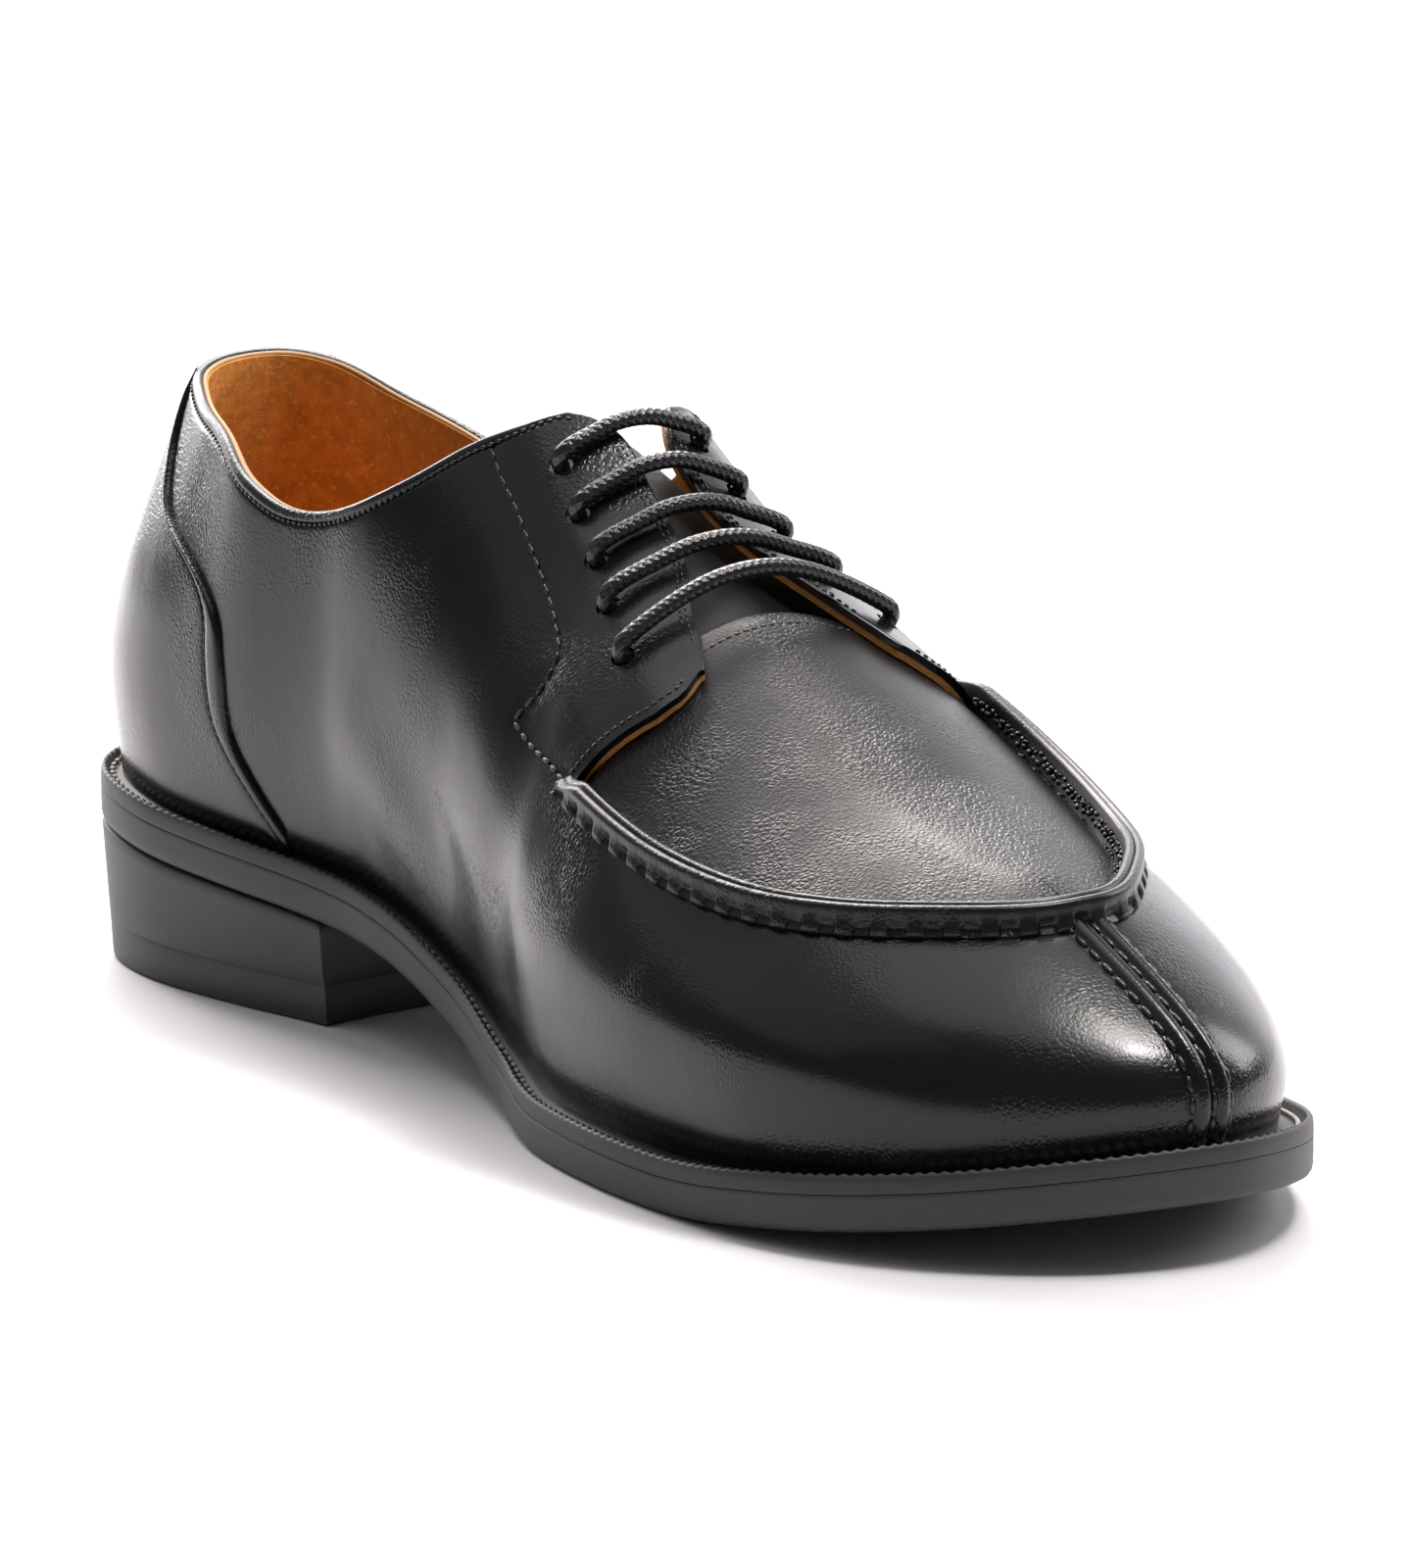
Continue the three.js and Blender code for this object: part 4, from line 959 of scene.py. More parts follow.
def make_apron(material, thread):
    """The let-in panel inside the U seam: across the crown from seam to seam, for each x, with a
    row of stitches along its rear edge."""
    rear_x, toe_x = VAMP_REAR * SOLE_LENGTH, take(LAST.x, LAST.toe_u)
    xs = rear_x + (toe_x - rear_x) * np.sin(np.linspace(0, np.pi / 2, 120))
    across = np.linspace(-1, 1, 91)[:, None]
    u = LAST.side_u(xs, across < 0)
    u[:, -1] = LAST.toe_u
    angle = 90.0 - np.abs(across) * (90.0 - (take(LAST.apron, u) - 1.0))
    let_in = step_down(take(LAST.x, u) / SOLE_LENGTH, 0.48, 0.53)
    out = -let_in + relief(u, angle) - rounded((xs - rear_x)[None], 0.6)
    outer = LAST.skin(u, angle, out)
    inner = LAST.skin(u, angle, -let_in - UPPER_WALL)
    middle = len(across) // 2
    crown = [LAST.skin(LAST.side_u(xs, side), np.full(len(xs), 90.0), out[middle]) for side in (True, False)]
    outer[middle] = (crown[0] + crown[1]) / 2
    hold = smooth(0.0, 0.25, 1 - np.abs(across)) * smooth(0, 6, np.arange(len(xs)))
    outer = smoothed(outer, 60, hold, True)
    ridge = np.exp(-((across / 0.16) ** 2)) * smooth(215.0, 245.0, xs)
    outer = smoothed(outer, 150, ridge, False)
    upper_piece("apron", *shell(outer[:, :-1], inner[:, :-1]), material, sharp=80, weld=True)
    column = int(np.searchsorted(xs - rear_x, 2.0))
    line = outer[12:-12, column]
    ahead = unit(outer[12:-12, column + 2] - line)
    along = unit(np.gradient(line, axis=0))
    face = unit(np.cross(ahead, along))
    face = face * np.sign(face[:, 2:])
    upper_piece("apron_thread", *beads_along(line, along, face, 1.7, (0.6, 0.26, 0.22)), thread)


def seam_path():
    """Places and angles of the U seam: inner arm forward, round the toe, outer arm back."""
    u = np.linspace(LAST.side_u(JOINT_X - 2.5, True), LAST.side_u(JOINT_X - 2.5, False), SEAM_LINE_STATIONS)
    return u, take(LAST.apron, u)


def seam_frame(u, angle):
    """Path of the U seam, the way across it into the apron, the way up it leans, and its run."""
    path = LAST.point(u, angle)
    tangent = unit(np.gradient(path, axis=0))
    up = unit(LAST.normal(u, angle) * SEAM_LEAN + np.array([0.0, 0.0, 1.0]))
    return path, unit(np.cross(up, tangent)), up, tangent


# Outline of the U seam: across it, below 0 outside, and up.
SEAM_PROFILE = np.array([
    (-2.6, -0.7), (-2.35, -0.1), (-2.12, 0.25), (-1.95, 0.8), (-1.86, 1.6), (-1.8, 2.6),
    (-1.7, 3.35), (-1.45, 3.8), (-1.0, 4.0), (-0.45, 4.02), (-0.12, 3.85), (0.02, 3.5), (0.16, 3.8),
    (0.45, 4.12), (1.0, 4.15), (1.45, 3.95), (1.7, 3.5), (1.8, 2.7), (1.86, 1.4), (1.95, 0.2),
    (2.1, -0.8), (2.35, -1.35), (2.6, -2.2), (0.0, -2.4),
])[::-1]
# Rough rows inside the U seam: how far in, how far up, pitch, size.
SEAM_ROWS = ((1.95, 0.9, 1.9, 0.55), (1.95, 1.9, 1.6, 0.45), (2.4, -0.75, 1.9, 0.45))


def make_apron_seam(material, thread, pitch):
    """The raised hand-sewn U: two leather edges standing up side by side. The outer foot is drawn
    in at every big stitch and swells between them, by a cosine of the length; inside run the
    rough small rows."""
    path, into, up, tangent = seam_frame(*seam_path())
    ends = np.minimum(np.arange(len(path)), np.arange(len(path))[::-1])
    height = (0.35 + 0.65 * smooth(0.0, 36.0, ends))[:, None]
    run = lengths(path)
    swell = np.tanh(3.0 * np.cos(2 * np.pi * run / run[-1] * round(run[-1] / pitch))) * 0.62
    foot = np.exp(-(((SEAM_PROFILE[:, 1] - 0.4) / 0.9) ** 2)) * (SEAM_PROFILE[:, 0] < -1.7)
    profile = np.repeat(SEAM_PROFILE[None], len(path), 0)
    profile[..., 0] -= swell[:, None] * foot
    upper_piece("apron_seam", *swept(path, into, up * height, profile), material, sharp=75)
    rng = np.random.default_rng(7)
    rows = []
    keep = ends > 32
    for inward, lift, gap, size in SEAM_ROWS:
        line = path + into * inward + up * lift
        places = spaced(line[keep], gap)
        at = along_row(line[keep], places)
        along = unit(along_row(tangent[keep], places))
        face = unit(along_row(into[keep], places))
        at = at + rng.normal(0, 0.16, at.shape)
        along = unit(along + rng.normal(0, 0.35, along.shape))
        rows.append(bead_mesh(at, along, face, (size * 1.3, size, size * 0.8)))
    upper_piece("apron_seam_thread", *join(rows), thread)


# Outline of the toe's seam: across it, and out. Its stitches: across, out, size.
TOE_SEAM_SPREAD = 1.2
TOE_STITCHES = ((-3.2, 0.32, 0.5), (3.2, 0.32, 0.5), (0.0, 0.45, 0.46))
TOE_PROFILE = np.array([
    (-3.25, -0.3), (-3.1, 0.05), (-2.8, 0.12), (-2.5, 0.2), (-2.25, 0.75), (-1.95, 1.2), (-1.5, 1.4),
    (-1.0, 1.3), (-0.6, 0.95), (-0.35, 0.4), (0.0, 0.15), (0.35, 0.4), (0.6, 0.95), (1.0, 1.3),
    (1.5, 1.4), (1.95, 1.2), (2.25, 0.75), (2.5, 0.2), (2.8, 0.12), (3.1, 0.05), (3.25, -0.3),
])


def make_toe_seam(material, thread, pitch):
    """The split toe's seam: two raised cords side by side up the tip rib, with stitches between
    them and along both outer sides."""
    top = take(LAST.apron, np.array([LAST.toe_u]))[0]

    def beside(distance, angle):
        return LAST.toe_u + (distance + TOE_SEAM_SHIFT) / per_turn(np.full(angle.shape, LAST.toe_u), angle)

    angle = np.linspace(1.0, top - 0.5, 70)[:, None]
    u = beside(TOE_PROFILE[:, 0] * TOE_SEAM_SPREAD, angle)
    outer = LAST.skin(u, angle + 0 * u, TOE_PROFILE[:, 1] + 0 * u)
    inner = LAST.skin(u, angle + 0 * u, -0.6 + 0 * u)
    upper_piece("toe_seam", *shell(outer, inner), material, sharp=70)
    line = np.linspace(2.5, top - 1.5, 160)
    rows = [stitches(beside(across, line), line, np.full(len(line), out), pitch, (1.5, size * 1.25, size))
            for across, out, size in TOE_STITCHES]
    upper_piece("toe_seam_thread", *join(rows), thread)


# Outline of the counter's front band: back from its edge, and out. Its groove lies at COUNTER_GROOVE.
COUNTER_GROOVE = 3.05
COUNTER_PROFILE = np.array([
    (0.0, -0.2), (0.06, 0.35), (0.18, 0.7), (0.45, 0.93), (1.0, 1.0), (1.8, 1.02), (2.4, 0.94),
    (2.7, 0.72), (2.9, 0.36), (3.05, 0.22), (3.2, 0.36), (3.5, 0.58), (4.4, 0.68), (6.0, 0.72), (9.0, 0.72),
])


def place_by_x(x, angle, inner):
    """Outline place on one side whose point at that angle has the given x, by stepping to it."""
    want = x
    u = LAST.side_u(want, inner)
    for _ in range(8):
        want = want + (x - LAST.point(u, angle)[..., 0])
        u = LAST.side_u(want, inner)
    return u if inner else u - 1.0


def top_angle(u):
    """Angle of the upper's top edge at places u."""
    order = np.argsort(SIDES.base % 1.0)
    return np.interp(u % 1.0, (SIDES.base % 1.0)[order], SIDES.top[order], period=1.0)


def counter_edge(share_up, inner):
    """Places u of the counter's front edge on one side, against the share of the way up."""
    order = np.argsort(COUNTER[:, 0])
    front = steady(COUNTER[order], 1)
    angle = share_up * 46.0
    for _ in range(10):
        u = place_by_x(front(angle) * SOLE_LENGTH, angle, inner)
        angle = share_up * top_angle(u)
    return u


def make_counter(material, thread):
    """The counter laid round the heel: from edge to edge at each height, with a raised folded
    band inside its edge, widest low down, and a stitched groove behind that."""
    share_up = np.linspace(0.0, 1.0, 96)
    bell = np.exp(-0.5 * (np.arange(-4, 5) / 1.6) ** 2)
    bell /= bell.sum()
    edges = [np.convolve(np.pad(counter_edge(share_up, inner), 4, mode="edge"), bell, mode="valid")
             for inner in (True, False)]
    band = 2.9 + 2.6 * np.exp(-((share_up - 0.42) / 0.2) ** 2) - 1.2 * smooth(0.75, 1.0, share_up)
    back = COUNTER_PROFILE[:, 0]
    wide = np.where(back <= COUNTER_GROOVE, back * band[:, None] / COUNTER_GROOVE,
                    back - COUNTER_GROOVE + band[:, None])
    speed = [per_turn(edge, share_up * top_angle(edge)) for edge in edges]
    left = edges[1][:, None] + wide / speed[1][:, None]
    right = (edges[0][:, None] - wide / speed[0][:, None])[:, ::-1]
    share = np.linspace(0, 1, 60)[1:-1]
    middle = left[:, -1:] + (right[:, :1] - left[:, -1:]) * share
    u = np.concatenate([left, middle, right], axis=1)
    angle = share_up[:, None] * top_angle(u)
    rise = COUNTER_PROFILE[:, 1]
    out = np.concatenate([rise, np.full(len(share), rise[-1]), rise[::-1]])
    out = out * (1 - 0.45 * smooth(0.93, 1.0, share_up))[:, None]
    outer = LAST.skin(u, angle, out)
    inner = LAST.skin(u, angle, np.full(u.shape, -0.5))
    seat_on_welt(outer, inner)
    upper_piece("counter", *shell(outer, inner), material, sharp=60)
    rows = []
    for edge, sign, pace in zip(edges, (-1, 1), speed):
        line = edge + sign * band / pace
        rows.append(stitches(line[1:-3], (share_up * top_angle(line))[1:-3], np.full(92, 0.5), 1.9,
                             (0.7, 0.26, 0.22)))
    upper_piece("counter_thread", *join(rows), thread)


# Outline of the topline's folded edge: out from the last, and up from the cut.
BINDING_PROFILE = np.array([
    (-0.1, -1.7), (0.1, -1.55), (0.2, -1.3), (0.24, -0.9), (0.18, -0.35), (-0.03, 0.05), (-0.4, 0.22),
    (-0.9, 0.22), (-1.25, 0.1), (-1.4, -0.15), (-1.42, -0.7), (-1.0, -1.2),
])
BINDING_CORE = np.array([-0.7, -0.7])
EIGHTHS = np.arange(8) * np.pi / 4
LINING_BEAD = np.column_stack([np.cos(EIGHTHS) * 0.42 - 1.75, np.sin(EIGHTHS) * 0.36 - 0.12])


def top_edge():
    """Places and angles of the topline: from the inner throat back round the heel to the outer."""
    joined = (SIDES.top_points()[:, 0] < np.where(SIDES.inner, 137.5, 134.0)) & ~SIDES.front
    inner = np.where(joined & SIDES.inner)[0][::-1]
    outer = np.where(joined & ~SIDES.inner)[0][::-1]
    order = np.concatenate([inner, outer])
    return np.where(SIDES.inner, SIDES.base, SIDES.base - 1.0)[order], SIDES.top[order]


def make_binding(material, thread, lining, pitch):
    """The folded edge round the topline: its outline carried along the cut and smaller at both
    ends, the lining's light edge inside it, and tight stitches below."""
    u, top = top_edge()
    path = smooth_line(LAST.point(u, top)[::2], TOPLINE_STATIONS)
    tangent = unit(np.gradient(path, axis=0))
    normal = unit(along_row(LAST.normal(u, top), np.linspace(0, len(u) - 1, TOPLINE_STATIONS)))
    up = unit(np.cross(tangent, normal))
    up = up * np.sign(up[:, 2:])
    side = unit(np.cross(up, tangent))
    side = side * np.sign((side * normal).sum(1))[:, None]
    ends = np.minimum(np.arange(TOPLINE_STATIONS), np.arange(TOPLINE_STATIONS)[::-1])
    full = 0.55 + 0.45 * smooth(0, 45, ends)[:, None, None]
    hem, bead = (swept(path, side, up, BINDING_CORE + (profile - BINDING_CORE) * full)
                 for profile in (BINDING_PROFILE, LINING_BEAD))
    upper_piece("binding", *hem, material, sharp=70)
    make_piece("lining_edge", *bead, lining, "lining_tan", ("upper",), sharp=70)
    below = top - TOPLINE_STITCH_DROP / per_degree(u, top)
    upper_piece("topline_thread", *stitches(u, below, np.zeros(len(u)), pitch, (0.56, 0.36, 0.3)), thread)


def make_facing_thread(thread, pitch):
    """Stitches of the facings: round the outside, and in two rows along the gap and in one down
    the front corner, at a finer pitch."""
    fine, small = 1.5, (0.52, 0.22, 0.2)
    rows = [stitches(u, angle, lift_up(u, angle) - 0.12, pitch, (1.15, 0.4, 0.36)) for u, angle in SEAM_LINES]
    for side in (True, False):
        pick = (SIDES.inner == side) & ~SIDES.front & (SIDES.top_points()[:, 0] > 143.0)
        columns = np.where(pick)[0][::1 if side else -1]
        for inset, short in ((1.7, 3), (2.7, 5)):
            angle = SIDES.top.copy()
            angle[columns] -= (inset / per_degree(SIDES.base, SIDES.top))[columns]
            u = SIDES.lead(angle)[columns[:-short]]
            angle = angle[columns[:-short]]
            rows.append(stitches(u, angle, lift_up(u, angle) + 0.05, fine, small))
        joint = columns[-1]
        last = (SIDES.top - 2.7 / per_degree(SIDES.base, SIDES.top))[joint]
        lip = np.linspace(SIDES.seam[joint] + 1.5, last - 1.0, 50)
        x = take(LAST.x, SIDES.base[joint:joint + 1])[0] + np.interp(lip, *SIDES.lips[0 if side else 1]) - 2.0
        u = LAST.side_u(x, side)
        rows.append(stitches(u, lip, lift_up(u, lip) + 0.05, fine, small))
    upper_piece("facing_thread", *join(rows), thread)


def make_tongue(material):
    """The tongue: a curved sheet under the facings, sunk below the last towards the collar."""
    rows = np.linspace(TONGUE[0, 0], TONGUE[-1, 0], 70)[:, None]
    across = np.linspace(1, -1, 61)
    u = LAST.side_u(rows * SOLE_LENGTH, across < 0)
    angle = 90.0 - np.abs(across) * (90.0 - steady(TONGUE, 2)(rows))
    seam = take(LAST.apron, u)
    share = take(LAST.x, u) / SOLE_LENGTH
    depth = UPPER_WALL + step_down(share, 0.54, 0.58) * smooth(seam - 3, seam + 3, angle) + CLEARANCE
    outer = LAST.skin(u, angle, -depth)
    inner = LAST.skin(u, angle, -depth - TONGUE_THICKNESS)
    for grid in (outer, inner):
        grid[..., 2] -= steady(TONGUE, 1)(rows) * INSTEP_HEIGHT
    make_piece("tongue_sheet", *shell(outer, inner), material, "tongue_leather", ("tongue",), sharp=60)


SOLE_STATIONS = 240


def sole_ring(inset, height):
    """A ring of the sole: the outline moved in square to itself, at a height over the underside."""
    x = SOLE_X - SOLE_NX * inset
    y = SOLE_Y - SOLE_NY * inset
    return np.stack([x, y, underside(x) + height], -1)


def ring_places():
    """Outline places from the heel tip round the inner side to the toe tip and back."""
    half = (1 - np.cos(np.linspace(0, np.pi, SOLE_STATIONS + 1))) / 2
    low, high = LAST.x.min(), LAST.x.max()
    x = low + (high - low) * half
    inner, outer = LAST.side_u(x, True), LAST.side_u(x, False)
    inner[0], inner[-1] = LAST.heel_u, LAST.toe_u
    return np.concatenate([inner, outer[1:-1][::-1]])


RING_U = ring_places()
SOLE_X, SOLE_Y = take(LAST.edge_x, RING_U), take(LAST.edge_y, RING_U)
SOLE_NX, SOLE_NY = take(LAST.nx, RING_U), take(LAST.ny, RING_U)
SOLE_LEDGE = take(LAST.ledge, RING_U)

# Rings of the outsole and the welt: distance in from the edge, and height.
OUTSOLE_RINGS = ((30.0, 0.0), (3.5, 0.0), (1.3, 0.06), (0.6, 0.3), (0.18, 0.9), (0.03, 1.8), (0.0, 3.6),
                 (0.0, 5.4), (0.0, 6.0), (0.08, 6.12), (1.2, 6.14), (20.0, 6.14))
WELT_RINGS = ((4.0, 0.0), (0.12, 0.0), (0.02, 0.1), (0.0, 0.6), (0.02, 1.8), (0.1, 2.6), (0.38, 3.15),
              (0.8, 3.4), (1.25, 3.3), (1.6, 2.9), (1.8, 2.1), (2.2, 1.55), (3.2, 1.45), (3.9, 1.6),
              (4.5, 1.9), (5.2, 2.0), (6.2, 2.05), (9.5, 2.05), (9.5, 0.3))


def make_outsole(material):
    """The outsole: rings of the outline with small rounded edges, following the underside."""
    rings = np.stack([sole_ring(inset, height) for inset, height in OUTSOLE_RINGS])
    make_piece("outsole_leather", *ring_solid(rings), material, "sole_edge", ("outsole",), sharp=40)


def welt_inset(distance, ledge):
    """A distance in from the edge, drawn together where the ledge of the welt is narrow."""
    return distance * (1.0 if distance > WELT_LEDGE else np.clip(ledge / 6.3, 0.3, 1.0))


def make_welt(material, thread, pitch):
    """The welt: a raised outer rim with fine notches, a sunken stitch channel and a flat that
    runs in under the upper, with light thread in the channel."""
    run = lengths(np.stack([SOLE_X, SOLE_Y], -1))
    even = np.linspace(0, run[-1], 1500)
    place = np.interp(even, run, np.arange(len(run)))
    edge_x, edge_y, out_x, out_y, ledge = (
        along_row(row, place) for row in (SOLE_X, SOLE_Y, SOLE_NX, SOLE_NY, SOLE_LEDGE))
    notch = 0.5 + 0.5 * np.cos(2 * np.pi * even / run[-1] * round(run[-1] / 2.2))
    rings = []
    for distance, height in WELT_RINGS:
        inset = welt_inset(distance, ledge)
        x, y = edge_x - out_x * inset, edge_y - out_y * inset
        cut = 0.5 * notch * math.exp(-((distance - 1.1) / 0.6) ** 2) * (height > 2.2)
        rings.append(np.stack([x, y, underside(x) + SEAT_HEIGHT + height - cut], -1))
    rings = np.array(rings)
    levels, count = rings.shape[:2]
    quads = grid_quads(levels + 1, count, True) % (levels * count)
    make_piece("welt_strip", rings.reshape(-1, 3), [quads], material, "welt_edge", ("welt",), sharp=70)
    line = sole_ring(welt_inset(2.8, SOLE_LEDGE), SEAT_HEIGHT + 2.0)
    tangent = unit(np.roll(line, -1, 0) - np.roll(line, 1, 0))
    up = np.tile([0.0, 0.0, 1.0], (len(line), 1))
    beads = beads_along(line, tangent, up, pitch, (0.95, 0.55, 0.42))
    make_piece("welt_thread", *beads, thread, "welt_edge", ("welt",))


# Rings of the heel: height, added to a share of the way from the floor to the sole, and inset.
HEEL_RINGS = (
    (0.0, 0.0, 0.9), (0.25, 0.0, 0.3), (0.9, 0.0, 0.0), (6.9, 0.0, 0.0), (7.15, 0.0, 0.12), (7.4, 0.0, 0.0),
    (0.0, 0.5, 0.0), (0.0, 0.9, 0.0), (-0.75, 1.0, 0.05), (-0.25, 1.0, 0.3), (0.0, 1.0, 0.8),
)


def outline_at(x):
    """Points and normals of the sole's outline at x, on the inner and then the outer side."""
    stations = np.arange(SOLE_STATIONS + 1)
    for order in (stations, -stations):
        place = np.interp(x, SOLE_X[order], stations)
        yield [np.interp(place, stations, row[order]) for row in (SOLE_X, SOLE_Y, SOLE_NX, SOLE_NY)]


def make_heel(material):
    """The stacked heel: the outline up to a hollow breast, a little narrower at the floor, with a
    fine line above its top piece."""
    xs = np.linspace(0, 1, 90) ** 1.3 * (HEEL_LENGTH - SOLE_X.min()) + SOLE_X.min() + 0.02
    share = np.linspace(0, 1, 26)[1:-1]
    rings = []
    for height, part, inset in HEEL_RINGS:
        taper = HEEL_TAPER * (1 - part - max(height, 0.0) / HEEL_HEIGHT) + inset + 0.15
        breast = HEEL_LENGTH - inset - taper * 0.3
        left, right = (np.column_stack([np.minimum(x - out_x * taper, breast), y - out_y * taper])
                       for x, y, out_x, out_y in outline_at(xs))
        hollow = breast - BREAST_HOLLOW * (1 - (2 * share - 1) ** 2)
        across = left[-1, 1] + (right[-1, 1] - left[-1, 1]) * share
        plan = np.concatenate([left, np.column_stack([hollow, across]), right[:0:-1]])
        ceiling = underside(plan[:, 0]) - CLEARANCE * 0.5
        rings.append(np.column_stack([plan, height + ceiling * part]))
    rings = np.array(rings)
    levels, count = rings.shape[:2]
    cap = np.arange(count)[None]
    faces = [grid_quads(levels, count, True), cap[:, ::-1], cap + (levels - 1) * count]
    make_piece("heel_stack", rings.reshape(-1, 3), faces, material, "heel_edge", ("heel",), sharp=35)


# Rings of the insole: distance in from the wall, and height.
INSOLE_RINGS = ((9.0, 0.2), (0.6, 0.2), (0.2, 0.7), (0.2, 1.9), (0.6, 2.3), (3.0, 2.4), (12.0, 2.2))


def make_insole(material):
    """The insole: the feather line moved in past the wall, slightly dished."""
    rings = np.stack([sole_ring(SOLE_LEDGE + UPPER_WALL + 0.6 + inset, SEAT_HEIGHT + height)
                      for inset, height in INSOLE_RINGS])
    make_piece("insole_sheet", *ring_solid(rings), material, "lining_tan", ("insole",), sharp=50)


def lace_path(row, diameter):
    """Centre line of one bar: up through the inner eyelet, over the facings and the gap at the
    lace's radius above them, and down the outer one."""
    x, y = row[[0, 2]] * SOLE_LENGTH, row[[1, 3]] * BALL_WIDTH
    foot = LAST.point(*place_at(x, y))
    out, lift = LACE_MOUTH[:, 0] / np.linalg.norm(foot[1] - foot[0]), LACE_MOUTH[:, 1]
    share = np.concatenate([[0.0], out, LACE_SPAN[:, 0], (1 - out)[::-1], [1.0]])
    over = diameter / 2 + CLEARANCE + LACE_SPAN[:, 1] * (row[4] + 0.5)
    rise = np.concatenate([[LACE_DEPTH], lift, over, lift[::-1], [LACE_DEPTH]])
    plan = foot[0] + (foot[1] - foot[0]) * share[:, None]
    u, angle = place_at(plan[:, 0], plan[:, 1])
    return smooth_line(LAST.skin(u, angle, rise + lift_up(u, angle)), LACE_STATIONS)


def steady_sides(tangent):
    """A way across a path at every station that doesn't twist: each is the one before it, less
    its part along the path."""
    side = unit(np.cross(tangent, np.array([0.15, 0.0, 1.0])))
    for i in range(1, len(side)):
        side[i] = unit(side[i - 1] - tangent[i] * (side[i - 1] @ tangent[i]))
    return side


# How deep the lace's ends lie in the eyelets, and its braid: strands, and turns for a millimetre.
LACE_DEPTH = -2.3
BRAID_STRANDS = 6
BRAID_TWIST = 4.2


def make_lace(material, diameter):
    """The lace: five bars through the eyelets, a round braid whose strands cross as raised
    diamonds: radius * (0.955 + 0.065 * the larger of two crossing waves)."""
    parts = []
    turns = np.linspace(0, 2 * np.pi, 41)[:-1]
    for row in EYELETS:
        path = lace_path(row, diameter)
        tangent = unit(np.gradient(path, axis=0))
        side = steady_sides(tangent)
        up = np.cross(tangent, side)
        twist = lengths(path)[:, None] * BRAID_TWIST
        waves = np.maximum(np.sin(turns * BRAID_STRANDS + twist), np.sin(turns * BRAID_STRANDS - twist))
        radius = diameter / 2 * (0.955 + 0.065 * waves)
        grid = (path[:, None] + side[:, None] * (radius * np.cos(turns))[..., None]
                + up[:, None] * (radius * np.sin(turns))[..., None])
        count, size = grid.shape[:2]
        cap = np.arange(size)[None]
        faces = [grid_quads(count, size, True), cap[:, ::-1], cap + (count - 1) * size]
        parts.append((grid.reshape(-1, 3), faces))
    bars = tuple("lace_bar_%d" % (k + 1) for k in range(len(EYELETS)))
    make_piece("lace", *join(parts), material, "lace_black", bars, sharp=80)


def punch_eyelets(piece, radius):
    """Cuts the ten round holes with one Boolean of joined cylinders square to the leather."""
    mesh = bpy.data.meshes.new("punch")
    work = bmesh.new()
    places = EYELETS[:, :4].reshape(-1, 2) * (SOLE_LENGTH, BALL_WIDTH)
    u, angle = place_at(places[:, 0], places[:, 1])
    for centre, normal in zip((LAST.point(u, angle) + SHIFT) / 1000.0, LAST.normal(u, angle)):
        turn = Vector(normal).to_track_quat("Z", "Y").to_matrix().to_4x4()
        turn.translation = Vector(centre)
        bmesh.ops.create_cone(work, cap_ends=True, segments=28, radius1=radius, radius2=radius,
                              depth=0.012, matrix=turn)
    work.to_mesh(mesh)
    work.free()
    punch = bpy.data.objects.new("punch", mesh)
    bpy.context.scene.collection.objects.link(punch)
    cut = piece.modifiers.new("eyelets", "BOOLEAN")
    cut.operation = "DIFFERENCE"
    cut.solver = "EXACT"
    cut.object = punch
    graph = bpy.context.evaluated_depsgraph_get()
    graph.update()
    done = bpy.data.meshes.new_from_object(piece.evaluated_get(graph))
    piece.modifiers.clear()
    old = piece.data
    piece.data = done
    done.name = old.name
    bpy.data.meshes.remove(old)
    bpy.data.objects.remove(punch)
    bpy.data.meshes.remove(mesh)
    done.set_sharp_from_angle(angle=math.radians(50))


class Value:
    """A number, colour or place socket that can be used in sums: a + b, 1 - a, a * b."""

    def __init__(self, shader, socket):
        self.shader = shader
        self.socket = socket

    def sum_of(self, kind, first, second):
        """A Math node of this kind on two values."""
        return self.shader.add("Math", {"operation": kind}, [first, second])

    def __add__(self, other):
        return self.sum_of("ADD", self, other)

    def __radd__(self, other):
        return self.sum_of("ADD", other, self)

    def __sub__(self, other):
        return self.sum_of("SUBTRACT", self, other)

    def __rsub__(self, other):
        return self.sum_of("SUBTRACT", other, self)

    def __mul__(self, other):
        return self.sum_of("MULTIPLY", self, other)

    def __rmul__(self, other):
        return self.sum_of("MULTIPLY", other, self)

    def ramp(self, low, high):
        """0 at low to 1 at high, with soft ends."""
        return self.shader.add("MapRange", {"interpolation_type": "SMOOTHSTEP"}, [self, low, high])


